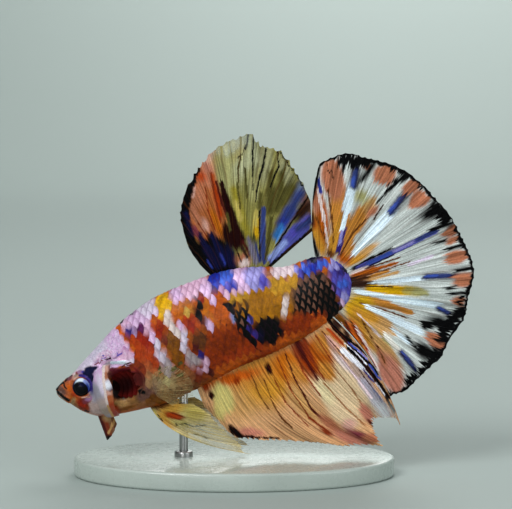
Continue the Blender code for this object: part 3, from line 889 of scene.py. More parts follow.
HEAD_PATCHES = [
    ("lavender", 10, 3.4, 5.2, 2.6, 0.16, 28), ("pearl", 7.4, 3.3, 3.6, 1.1, 0.4, 29),
    ("pearl", 11, 5.8, 2.4, 1, 0.4, 26), ("pink", 9.9, 2.6, 2.4, 0.9, 0.5, 10),
    ("lavender", 12.2, 2.3, 1.7, 1.8, 0.12), ("pink_mauve", 12.4, 2.1, 1.2, 1.1),
    ("mauve", 10.1, 2, 1.3, 0.45, 0.6, 4), ("mauve", 8.4, 2.3, 0.9, 0.35, 0.7, 14),
    ("lavender", 11.4, 4.9, 1.5, 1.7, 0.3), ("lavender", 7.2, 0.4, 1.1, 1, 0.4),
    ("pink", 12.2, 1.4, 1.2, 0.8, 0.4),
    ("orange", [(12.75, 6.2), (13.1, 5), (13.75, 3.6), (14.1, 2.2)], [1, 1.1, 0.8], 0.3),
    ("orange_red", 14.1, 3.8, 0.7, 1.3, 0.4, 10), ("dark_violet", 14.3, 5.2, 0.7, 0.85, 0.35),
    ("purple_maroon", 15.9, 4.8, 0.85, 0.9, 0.35), ("deep_red", 15.9, 3.8, 0.8, 0.7),
    # Snout, lips and cheek.
    ("orange_flesh", 2.3, -0.7, 1.7, 2.2, 0.2), ("pearl", 4.8, 2, 1.5, 0.5, 0.4, 28),
    ("pearl_pink", 3.7, 1.4, 0.9, 0.3, 0.5, 25), ("red_brown", 2.6, 0.5, 0.5, 0.3, 0.5, 20),
    ("orange_flesh", 3.2, 0.3, 1.2, 1, 0.3), ("orange", 2.1, -0.5, 0.4, 0.7),
    ("orange_red", 2.8, -1.7, 0.6, 0.7), ("orange_brown", 2.2, -2.1, 0.6, 0.6),
    ("orange_red", 2.5, -1.6, 0.4, 0.6), ("soft_tan", 1.9, -2.8, 0.35, 0.8, 0.5, -35),
    ("clay", 2.5, -3.4, 0.6, 0.5, 0.5, -40), ("pink_grey", 5.7, -4.7, 1.9, 1.5, 0.3, -15),
    ("grey_lilac", 6.3, -2.6, 1.5, 2.6, 0.3), ("lavender", 6.8, -0.2, 0.9, 1.3, 0.4),
    ("pink_grey", 5.4, -4.9, 1.5, 0.9, 0.5, -10), ("dusk_violet", 6.2, -0.6, 0.55, 1, 0.6, -10),
    ("red_brown", 3.3, -3.9, 0.75, 1.3, 0.35, 30), ("deep_red", 3.2, -3.5, 0.6, 0.8, 0.5, 20),
    ("plum", 4.1, -3.2, 0.75, 0.55, 0.4), ("mauve", 4.5, -3, 0.6, 0.4),
    ("pale_pink", [(3.5, -2.5), (4.7, -2.85)], 0.22), ("ink", [(3.3, -4.75), (3.8, -5.05)], 0.25, 0.6),
    ("grey_brown", 0.75, -0.3, 0.5, 1.1, 0.4, 18),
    ("dark_brown", [(1.55, 0.75), (1.45, 0.2), (1.6, -0.4)], 0.24), ("beige", 0.35, -1.2, 0.3, 1, 0.5, 25),
    ("ink", [(0.1, 0), (0.3, 0.35), (0.8, 0.62), (1.4, 0.75)], 0.42, 0.35),
    ("ink", [(0.05, -0.4), (0.4, -1.05), (0.8, -1.65), (1.3, -2.3)], 0.44, 0.35),
    ("ink", [(1.85, 0.85), (2.4, 1.15), (3.1, 1.35)], [0.36, 0.22]),
    ("lip_plum", 2.7, 1, 0.5, 0.3, 0.5, 10), ("pale_pink", 3.6, 0.9, 0.6, 0.3, 0.6, 10),
    ("beige", 3.9, 1.2, 0.6, 0.25, 0.5, 10), ("red_brown", 4.05, 1.5, 0.24, 0.28),
    ("mauve", 4.6, 1.5, 0.5, 0.3, 0.6), ("violet", 5, 1.3, 0.3, 0.25, 0.6),
    ("dark_violet", 5.5, -1.4, 0.35, 1, 0.8, -15), ("navy", 6.1, 1.2, 0.95, 0.75, 0.3),
    ("navy", 6.9, 1.35, 0.65, 0.34, 0.4), ("navy", 5.4, 0.95, 0.6, 0.45, 0.4),
    ("navy", [(5.9, 1.2), (5.9, 0.2), (5.75, -0.4)], [1, 0.6], 0.4),
    ("dark_violet", [(4.4, 0.95), (5.1, 0.6), (5.5, -0.1), (5.55, -0.9), (5.2, -1.7)], 0.5, 0.4),
    ("navy", 6.2, -0.3, 0.25, 0.5), ("plum", [(7.3, 1.85), (8, 2), (8.7, 2.4)], 0.22, 0.8),
    ("violet", [(8.9, 2.9), (9.4, 2.5)], 0.2, 0.8), ("violet", 11.6, 2.45, 0.5, 0.2, 0.8, 10),
    ("ink", 9.5, 2.15, 0.4, 0.22, 0.3, 25),
    # The fold over the gill opening, the opening and the throat.
    ("clay", 11.3, -5.7, 3.6, 1.2, 0.35, -6), ("red_brown", 8.1, -6.4, 0.8, 0.8),
    ("pale_orange", 9.3, -5.4, 1.5, 0.7, 0.6, -4), ("beige_brown", 11.8, -5.6, 1.4, 0.6, 0.6),
    ("olive_brown", 10, -6.45, 1.6, 0.25, 0.6, -2), ("grey_brown", 12.9, -5.4, 1, 0.9),
    ("mauve_brown", 14.3, -3.3, 1.3, 2), ("orange_flesh", 14.8, -1.6, 0.9, 1.4),
    ("soft_tan", 15.6, -3.9, 1.3, 1.6, 0.5, 20), ("soft_tan", 18, -4.9, 2.8, 1, 0.5, -10),
    ("straw", 17.2, -4.3, 1.2, 0.7, 0.6, -20), ("clay", 20.4, -4.6, 1.3, 1.5, 0.6),
    ("brown", 16.6, -6.6, 1.6, 0.6), ("dark_olive", [(16, -2.9), (17.2, -2)], 0.2),
    ("dark_olive", [(16.6, -3.1), (18.2, -2.4)], 0.2), ("dark_olive", [(18.8, -2.9), (20.6, -2.4)], 0.22),
    ("dark_olive", [(19, -3.4), (21.2, -3.2)], 0.22), ("dark_olive", [(18.7, -3.9), (20.8, -4)], 0.2),
    ("cavity_red", 12.6, -1.9, 1.7, 2.3, 0.4), ("red_brown", 14.2, -1, 0.6, 0.7),
    ("grey_brown", 14, -5.3, 1.4, 0.9), ("red_brown", 13.3, -0.6, 1.1, 0.6, 0.5, -15),
    ("plum", 9.7, 0.1, 1, 0.7, 0.4, 20), ("plum", 10.4, -0.4, 1.1, 0.4, 0.5, -10),
    ("salmon", 8.6, 0.2, 0.5, 0.9, 0.5, 20), ("grey_pearl", 9.5, 1.2, 0.7, 0.5),
    ("rose", 9, -0.4, 0.5, 0.5), ("lavender", 10.4, 0.85, 1.2, 0.45, 0.4, -10),
    ("lavender", 11.8, 0.5, 1, 0.3, 0.5, -10),
    ("blue_white", [(9.9, 1.3), (11, 1), (12.4, 0.62)], [0.5, 0.62], 0.35),
    ("pearl", [(12.2, 0.7), (13.3, 0.75)], 0.4),
    # Painted shadow: a maroon line under and behind the gill fold, where the fold shades the skin.
    ("maroon", [(11.2, 0.12), (12, 0.36), (13.3, 0.42), (13.95, 1.2), (13.9, 2.2)], 0.22, 0.4),
    ("wine", 11, -0.7, 2.4, 0.7, 0.4, -8), ("cavity_red", 11.2, -1.4, 2.4, 0.9, 0.5, -8),
    # Painted shade: the two dark_maroon patches darken the gill opening to near black in its deep middle and
    # next to the cover, where the pocket is shaded; the wine and cavity red are its own colour.
    ("dark_maroon", 10.5, -3, 2.4, 1.85, 0.3), ("dark_maroon", 9.4, -3.6, 1.2, 1.1, 0.4),
    ("flesh_red", [(12, -0.6), (12.9, -1.6), (13.2, -3)], 0.22, 0.6),
    ("ink", [(9.2, -1.6), (9, -2.3), (8.5, -2.8)], 0.3, 0.4), ("orange_red", 8, -6.2, 0.7, 0.9, 0.4),
    ("ink", 13.2, -4.8, 0.36, 0.34, 0.35), ("ink", 14.4, -6.1, 0.22, 0.2, 0.4),
    ("olive_brown", 15.4, -6.6, 2, 0.8), ("ink", 10.8, 5.95, 0.3, 0.14, 0.5, 25),
    ("ink", 13.4, 7.15, 0.4, 0.14, 0.5, 20), ("ink", 15.5, 7.75, 0.4, 0.14, 0.5, 25),
]
# Where the scales are rimmed with ink, as shapes for patch_mask().
NETS = [
    (44.4, 1.2, 3.6, 3, 0.12),
    (46.6, -1.6, 1.3, 2.2, 0.3),
    (32.2, 1.2, 1.3, 2.9, 0.3, -20),
]


# ---------- Markings of the fins ----------

DORSAL_PATCHES = [
    # The salmon front.
    ("salmon_orange", 32.2, 20.6, 3.4, 7.2, 0.1, -8), ("salmon", 34.6, 25.6, 1.9, 2.4, 0.3, -30),
    ("orange_red", 33, 25.4, 0.8, 0.9, 0.8), ("rose", 35.2, 26.9, 1, 1.2, 0.6, -30),
    ("pale_pink", 35.6, 28, 1.3, 0.7, 0.6, 20),
    ("orange_red", [(34.2, 18.4), (34.6, 21.6), (35.2, 25)], 0.9, 0.8),
    ("pale_pink", 31.2, 17.8, 0.6, 1, 0.8), ("salmon", 30.4, 19.6, 0.6, 2.4, 0.5, 8),
    ("salmon", 31.6, 22.6, 1.2, 2.2, 0.7, -20), ("bright_orange", 33.2, 17.4, 0.6, 2.6, 0.5, 6),
    ("pale_pink", [(30.9, 22.8), (31.5, 24.2)], 0.5, 0.9),
    ("red_brown", [(32.6, 16.4), (32.5, 19.8), (33.3, 23.6)], 0.22, 0.6),
    ("red_brown", [(33.9, 17.4), (34.2, 21.2), (34.9, 25.6)], 0.3, 0.6),
    ("red_brown", [(31.1, 15.6), (30.4, 18.4)], 0.2, 0.6),
    # The olive middle.
    ("olive", 39.2, 19.6, 2.6, 7, 0.2, -14), ("pale_olive", 37.6, 24.4, 2, 3.6, 0.4, -10),
    ("sage", 40.6, 26.2, 2.2, 3.4, 0.5, -26), ("pale_olive", 40.4, 21.6, 0.8, 2.6, 0.5, -14),
    ("pale_yellow", 38.6, 27.4, 2.6, 1.6, 0.6, 10),
    ("yellow_olive", [(37.3, 13.6), (37.3, 17.6), (37.6, 21.6)], [1.1, 1.3], 0.85),
    ("olive_tan", [(37.1, 17), (37.2, 19.6)], 0.8, 0.9),
    ("yellow_ochre", [(38.6, 13.4), (39.4, 15.8)], 0.9, 0.7),
    ("olive_tan", [(39, 15.2), (39.8, 17.2)], 0.7, 0.8), ("grey_olive", 43.4, 24.2, 1.4, 3.4, 0.5, -24),
    ("grey_olive", 46.4, 21.6, 1, 3), ("pale_olive", [(37.2, 25), (38.6, 27.6)], 2.2, 0.9),
    ("sage", [(42.2, 25), (42.6, 28.6)], 1.3, 0.9), ("grey_olive", 44.6, 26, 0.8, 1.3, 0.6, -20),
    ("dark_olive", [(41.8, 16.6), (43, 19.4), (44, 22.4)], [1.5, 1.1], 0.9),
    ("dark_olive", [(43, 16.6), (44.8, 19.4), (45.6, 21.6)], [1.3, 1], 0.9),
    ("pale_olive", [(40.5, 19), (41.5, 21.4), (42.6, 23.6)], 0.6, 0.7),
    ("dark_olive", [(40.6, 17.6), (41.4, 19.6)], 0.7, 0.9),
    ("dark_olive", [(39.2, 20), (40.2, 24.2)], 0.4, 0.9),
    ("dark_olive", [(37.6, 18.6), (38.4, 22.6)], 0.3, 0.7), ("dark_olive", 46.3, 18.6, 1.2, 2, 0.6, -30),
    ("grey_brown", 47.9, 15.8, 0.9, 2.2, 0.7), ("slate", 47.8, 18.6, 0.6, 1.2, 0.8, -20),
    ("dark_olive", 44.6, 17.4, 1.4, 0.6, 0.9, 50), ("dark_brown", 46.6, 14.7, 1.9, 0.9, 0.6, 40),
    # The dark streak behind the salmon, and the black front of the root.
    ("dark_maroon", [(36, 13.6), (35.8, 18), (35.8, 21), (36, 23.2)], [1.4, 1.35, 0.8], 0.4),
    ("maroon", [(35.2, 16), (35, 20.4), (35.3, 24)], 0.4), ("dark_maroon", 35, 14.6, 1.7, 2.3, 0.25, 8),
    ("dark_olive", [(34.9, 15.6), (35.3, 18.4)], 0.4, 0.6), ("ink", 31, 11.8, 3.4, 4.1, 0.12, 16),
    ("navy", [(31.2, 11), (30.4, 14), (29.9, 16.8)], [1.4, 0.9], 0.51),
    ("navy", [(32.6, 11), (32.2, 13.4), (31.8, 16)], [1.4, 0.9], 0.51),
    ("ink", [(29.3, 10.6), (28.4, 14.6), (28.2, 18.8), (29.1, 21.8)], 1.8, 0.2),
    ("ink", [(29.3, 21.4), (30.2, 23.7), (31.5, 25.3), (33, 26.6)], [1.6, 1.4, 0.9], 0.3),
    ("navy", [(29, 16.8), (29, 20.6)], 0.8, 0.85), ("plum", 29.6, 17.4, 0.4, 0.9, 0.6),
    ("indigo_blue", [(30.2, 10.8), (29.9, 12.2)], 0.3, 0.85),
    ("indigo_blue", [(32.4, 10.8), (32.2, 12.6)], 0.35, 0.85),
    # The blue streaks behind.
    ("ink", [(38, 9.6), (38.9, 12.6), (40.4, 17.2)], 0.3),
    ("slate_blue", [(38.5, 9.2), (39.5, 12.8), (41.1, 17.2)], 0.85, 0.35),
    ("dark_olive", [(39, 9.6), (40.2, 12.2), (41.8, 15.4)], 0.6),
    ("indigo_blue", [(43, 13.8), (45, 15.6)], 1.9, 0.59),
    ("slate_blue", [(44.6, 15.2), (47.4, 17.8)], 1.5, 0.85),
    ("azure", [(41.6, 12.4), (42.8, 13.5)], 1.3, 0.7),
    ("slate_violet", [(39.6, 9.2), (42.6, 11), (45, 12.3)], [1, 1.8], 0.3),
    ("violet", [(44.6, 12), (47.4, 13.3)], 1.5, 0.68),
    ("slate_violet", [(39.6, 8.75), (42.6, 10.05), (46.8, 12)], 0.8),
    ("pale_blue", [(39.8, 9.4), (42.6, 11)], 1, 0.8), ("slate_blue", [(45.2, 12.4), (47.4, 13)], 1, 0.8),
    ("ink", [(41, 10.9), (43.6, 12.9), (46.2, 15), (48.7, 17)], 0.32),
    ("ink", [(39, 8.1), (42, 9.35), (45.2, 10.65), (48.2, 11.9)], 0.55, 0.4),
    ("ink", [(48.6, 12.8), (48.9, 15.2), (48.6, 17.8), (48.1, 20.4), (47.2, 23), (46.6, 25.2)], 0.28, 0.6),
    # The root.
    ("navy", 33.6, 11.4, 0.8, 2), ("salmon", 35.4, 10.5, 1.2, 1.2),
    ("cream_pink", 35.4, 9.9, 0.8, 0.6, 0.6), ("dark_maroon", [(35, 10.6), (34.8, 12.8)], 0.3, 0.6),
    ("dark_brown", [(36.1, 10.4), (35.8, 12.9)], 0.4, 0.6),
    ("maroon", [(36.6, 11), (36.2, 13.4)], 0.5, 0.8),
    ("grey_violet", [(37.2, 9.6), (37.3, 13.2)], 0.9, 0.8),
    ("slate_blue", [(37.8, 9.4), (38.1, 12.6)], 0.4, 0.8), ("dark_olive", 38, 13.2, 0.5, 0.8, 0.7),
    # Dark rays.
    ("ink", [(43.6, 29.6), (42.3, 26.6), (41.3, 23.6), (40.5, 20.8)], [0.3, 0.26, 0.18]),
    ("ink", [(42.8, 29.9), (41.4, 27.2), (39.6, 26.1)], [0.24, 0.16]),
    ("ink", [(44.6, 26.4), (43.3, 24), (42, 22.1), (40.9, 20.2), (40.3, 18.8)], [0.34, 0.4, 0.3, 0.2]),
    ("ink", [(46, 25.2), (45.7, 23.1), (44.2, 21.4), (43.2, 20.2)], [0.26, 0.3, 0.2]),
    ("dark_olive", [(46.9, 23.4), (45.2, 20.4), (43.4, 17.8)], 0.3, 0.6),
    ("dark_olive", [(40.2, 26.2), (39.2, 24.6), (38.5, 22.4)], 0.26, 0.6),
]
# Where the skin of the fin lets light through.
DORSAL_CLEAR = [
    (39.4, 28.6, 3.4, 1.5, 0.6, 6),
    (44.2, 28.4, 0.6, 1.4, 0.6, 15),
]
CAUDAL_PATCHES = [
    # Ground: ochre and orange near the root.
    ("ochre", 48.1, 10.8, 1, 4.2, 0.3, -4), ("orange_brown", 47.9, 12.8, 0.7, 1.3),
    ("orange_brown", 49.6, 13, 1, 4.4, 0.4, -10), ("gold_brown", 52.4, 12.4, 1.7, 5.6, 0.25, -16),
    ("ochre", 51.2, 9.4, 1, 2.6, 0.4, -20), ("salmon", 53.2, 18.4, 1.8, 3.6, 0.25, -6),
    ("salmon", 49.6, 16, 0.8, 2.2, 0.5, -14),
    ("gold_brown", [(51.6, 7.2), (54, 9.8), (56.2, 11.8)], [1.4, 2.4], 0.3),
    ("pale_orange", 57.4, 12.3, 1.5, 1, 0.5, 40), ("salmon", 57.6, 11.4, 1.1, 0.7, 0.6, 35),
    ("pale_olive", 56.6, 14.2, 1.1, 1.2, 0.8, 40), ("ochre", 53.2, 5, 2.6, 0.7, 0.4, 14),
    ("orange_brown", 50.9, 5.7, 1.1, 1.3, 0.5, 20), ("gold_brown", 52.1, 6.6, 1.1, 0.7, 0.5, 40),
    ("pale_orange", 55.2, 5.8, 1.8, 0.5, 0.5, 14),
    ("orange_brown", [(51.6, 2.3), (55, 2.3), (58.6, 2.2)], [1.2, 0.6]),
    ("pale_orange", [(53.6, 0.95), (58.4, 0.7)], 0.5, 0.7),
    ("gold_brown", [(52.2, 1.4), (57, 1.4)], 0.5, 0.4),
    ("yellow", [(53, -0.1), (56.2, -1.6), (59, -2.7)], [1.3, 1.5], 0.25),
    ("olive_tan", [(58.6, -2.4), (60.6, -3.4)], 1.4), ("pale_olive", [(60, -3), (61.6, -3.9)], 1, 0.6),
    ("gold_brown", [(52.2, -1.8), (55.4, -4), (58.3, -6.2)], [1.3, 0.9], 0.3),
    ("yellow_ochre", 50.6, -3, 2.4, 2.8, 0.4, -30), ("yellow", 49.4, -2.9, 0.7, 1.6, 0.5, 20),
    ("ochre", 51, -7, 1.7, 5, 0.3, 14), ("gold_brown", 49.2, -7.4, 0.9, 3.6, 0.5, 8),
    ("pale_orange", 52.4, -10.4, 1.2, 4.4, 0.35, 18), ("pale_olive", 53, -8.4, 0.5, 2.4, 0.5, 22),
    ("pale_orange", [(53.4, -5.4), (55, -8.6)], 1.1, 0.4), ("pale_orange", 53, -7, 0.9, 2.2, 0.5, 25),
    ("ochre", 52.3, -5, 0.8, 1.2, 0.5, 25), ("olive_brown", 47.2, -4.4, 1, 2.4, 0.4, 12),
    ("red_brown", 47.8, -6.3, 0.7, 1.5, 0.5, 12), ("dark_brown", 46.7, -4.8, 0.6, 1.9, 0.6, 14),
    ("orange", 48.9, -6.4, 0.7, 2.2, 0.5, 10), ("cream_pink", [(47.3, -4.5), (47.1, -5.8)], 0.2, 0.6),
    ("maroon", [(47.9, -4.4), (48.1, -6.4), (48.5, -8.6)], 0.4), ("rose", 52.2, -14.8, 1.9, 3.8, 0.3, 5),
    ("salmon", 51.6, -11.4, 0.5, 2.2, 0.5, 8),
    # Dark threads by the root.
    ("dark_brown", [(50.6, 2), (53.4, 1.6)], 0.8), ("brown", 52.4, 0.8, 1.5, 0.8, 0.6, -12),
    ("dark_brown", 51.6, 1, 1.2, 0.6, 0.6, -15),
    ("dark_brown", [(50.4, 1.2), (52.6, 0.8), (54.4, 0.2)], [0.9, 0.5]),
    ("ochre", 49.6, 8.2, 0.9, 1.9, 0.5, -15), ("brown", 49, 7, 0.8, 0.6),
    ("dark_brown", 47.8, 13.2, 0.6, 1.5, 0.6, -18),
    ("dark_brown", [(51, 0.9), (53.8, -0.2), (56.6, -1.2)], 0.24),
    ("brown", [(51.6, 3), (55, 2.9), (59.4, 2.9)], 0.26),
    ("brown", [(52, 1.9), (56.6, 1.7), (61, 1.7)], 0.22),
    ("brown", [(51.2, -2.2), (54.4, -4.4), (57.4, -6.8)], 0.24),
    ("brown", [(48.6, -4.2), (49.4, -9)], 0.24, 0.6),
    ("brown", [(50.2, -4.6), (51.4, -9.4), (51.9, -13)], 0.2, 0.6),
    ("dark_brown", [(50, 6.6), (51.6, 9.4)], 0.5), ("brown", [(50.4, 6.2), (53.4, 9), (56.4, 10.6)], 0.3),
    ("brown", [(49, 8), (48.6, 13.4)], 0.22, 0.6),
    ("brown", [(50, 8.4), (51.2, 13), (51.9, 17)], 0.24, 0.6),
    ("dark_brown", [(53.2, 18.2), (53, 20.8)], 0.2, 0.7),
    ("dark_brown", [(57.2, 9.9), (59.4, 11.6)], 0.3, 0.6),
    # Pale rays with blue ends.
    ("cream_pink", [(49.1, 8.6), (49.8, 12.6), (50.3, 17.2)], [0.34, 0.55], 0.3),
    ("indigo_blue", [(50.6, 16.9), (50.95, 18.8)], 0.6, 0.3),
    ("dark_violet", [(50.3, 6.9), (52.5, 10.4)], 0.75, 0.3),
    ("pale_violet", [(50.9, 8), (52.3, 10.5)], 0.45),
    ("blue_white", [(52.2, 10.4), (53.6, 12.8), (55.6, 16.2)], [0.8, 1.5], 0.2),
    *blue_tip(56, 16.2, 57.2, 18.6, 1.3),
    ("blue_white", [(52.6, 5.8), (56, 7.7), (60.4, 10.3)], [1, 1.6], 0.2),
    *blue_tip(60.3, 10.2, 63.2, 12.1, 1.2), ("ink", [(51.6, 3.5), (55, 4.2), (59, 4.8)], [0.6, 0.35], 0.35),
    ("slate_violet", [(52.4, 3.3), (56, 3.7), (66, 5.1)], [0.9, 0.85], 0.25),
    ("bright_indigo", [(54, 3.55), (58, 4.1)], 0.6, 0.4), ("pale_violet", [(58.6, 4.15), (62, 4.6)], 0.5),
    ("navy", [(53.4, 3), (58.6, 3.6)], 0.24), ("slate_blue", [(63, 4.7), (66.2, 5.2)], 0.6, 0.4),
    ("cream_pink", [(51.2, 3), (53.4, 3)], 0.5),
    ("blue_white", [(54, 0.45), (57, -0.3), (62.2, -1.5)], [0.5, 0.85], 0.3),
    *blue_tip(62.2, -1.4, 67.2, -2.8, 0.9),
    ("blue_white", [(51.2, -0.2), (56.5, -3.1), (62.6, -6.4)], [0.8, 1.1], 0.25),
    *blue_tip(62.7, -6.9, 64.1, -8.4, 0.85),
    ("blue_white", [(52.2, -3.2), (55.4, -6.4), (58.8, -9.6)], [0.8, 1.1], 0.3),
    ("white", [(53.4, -8.6), (55, -12.4)], 0.9, 0.4), ("blue_white", [(54.6, -7.6), (56.4, -10.6)], 0.6),
    *blue_tip(54.8, -11.8, 56.2, -15.4, 0.9),
    ("deep_red", [(48.9, -5.4), (49.6, -8.6), (50.2, -12.8)], 0.24),
    ("cream_pink", [(49.1, -5.4), (49.7, -8), (50.2, -11), (50.5, -13.6)], 0.34, 0.4),
    ("cream_pink", [(50.4, -4), (51.4, -6.3), (52.4, -8.4)], 0.36, 0.4),
    ("pearl", [(60.4, 1.2), (64.6, 1.4)], 0.5, 0.7),
    # Salmon windows behind the black margin.
    ("salmon", 59.2, 18.7, 0.8, 0.7, 0.4), ("salmon", 61.4, 16.5, 1.9, 1.8, 0.25),
    ("salmon", 64.8, 13.1, 1.8, 1.1, 0.25, 25), ("salmon", 65.3, 10.8, 2, 1.3, 0.25, 10),
    ("salmon", 68.4, 4.3, 1.6, 0.9, 0.3, 10), ("salmon", 68.6, 2.8, 1.3, 0.6, 0.4, 5),
    ("salmon", 68.2, 0, 2.1, 1.1, 0.25, -5), ("salmon", 68.2, -3.8, 1.9, 1.2, 0.3, -15),
    ("salmon", 66.2, -6.9, 1.1, 0.9, 0.4, -25), ("salmon", 60.8, -11.9, 2, 1.1, 0.25, -58),
]
# Black marks of the caudal fin, as shapes for mask_of().
CAUDAL_INK = [
    ((55.7, 20.4), (59, 19.8), 2.3, 0.2),
    ((58.2, 20.3), (62, 18.9), 1.1, 0.35),
    ((63.3, 17.3), (65.8, 15.2), 1.5, 0.3),
    ((62.9, 15), (65.2, 15), 1.1, 0.5),
    ((57.8, 17), (60, 18.6), 1.1, 0.9),
    ((66.4, 13.6), (67.4, 11.2), 0.9, 0.5),
    ((65.4, 3.3), (67.4, 3.1), 0.5, 0.9),
    ((64.6, -4.2), (66.8, -4.4), 0.5, 0.9),
    ((55.4, 20.4), (55.2, 19), 0.5, 0.6),
    (67.9, 7.6, 1.5, 2.7, 0.25, 8),
    (66.4, 8.2, 2, 1, 0.6, 20),
    ((69.8, 0), (69.8, 3.6), 0.7, 0.5),
    ((66.6, 1.7), (70, 1.5), 0.6, 0.6),
    ((66.6, -1.9), (70, -2.4), 0.6, 0.6),
    ((65, -5.1), (68.4, -6), 0.6, 0.6),
    ((65.4, 5.6), (69.4, 5.6), 0.6, 0.6),
    ((66.4, -8.6), (61.8, -11.6), 2.2, 0.3),
    (62.2, -9, 2.4, 0.8, 0.7, -28),
    ((56.4, -9.6), (57.8, -12.8), 0.5, 0.9),
    ((59.8, -8.9), (64, -10), 1.3, 0.4),
    ((61.8, -14), (58, -15.4), 1.8, 0.3),
    (58.6, -13, 2, 1.2, 0.5, -62),
    (59.8, -13.8, 1.4, 1.1, 0.4),
    ((58.2, -15.5), (54.6, -16.9), 1.5, 0.3),
    (50.6, -17.9, 0.9, 0.7),
    ((48.2, 15.8), (50.2, 18.8), 1.3, 0.35),
    ((50.2, 18.8), (51.6, 21), 0.8, 0.4),
    ((46.9, 7), (47, 12), 0.6, 0.5),
    ((47, 11.6), (48.4, 16), 0.5, 0.6),
    ((61, 14.1), (64.6, 14.8), 0.8, 0.6),
    ((66.2, -7.4), (68.8, -5.4), 0.9, 0.5),
    ((58.6, 12.4), (61.4, 14), 0.35, 0.8),
]
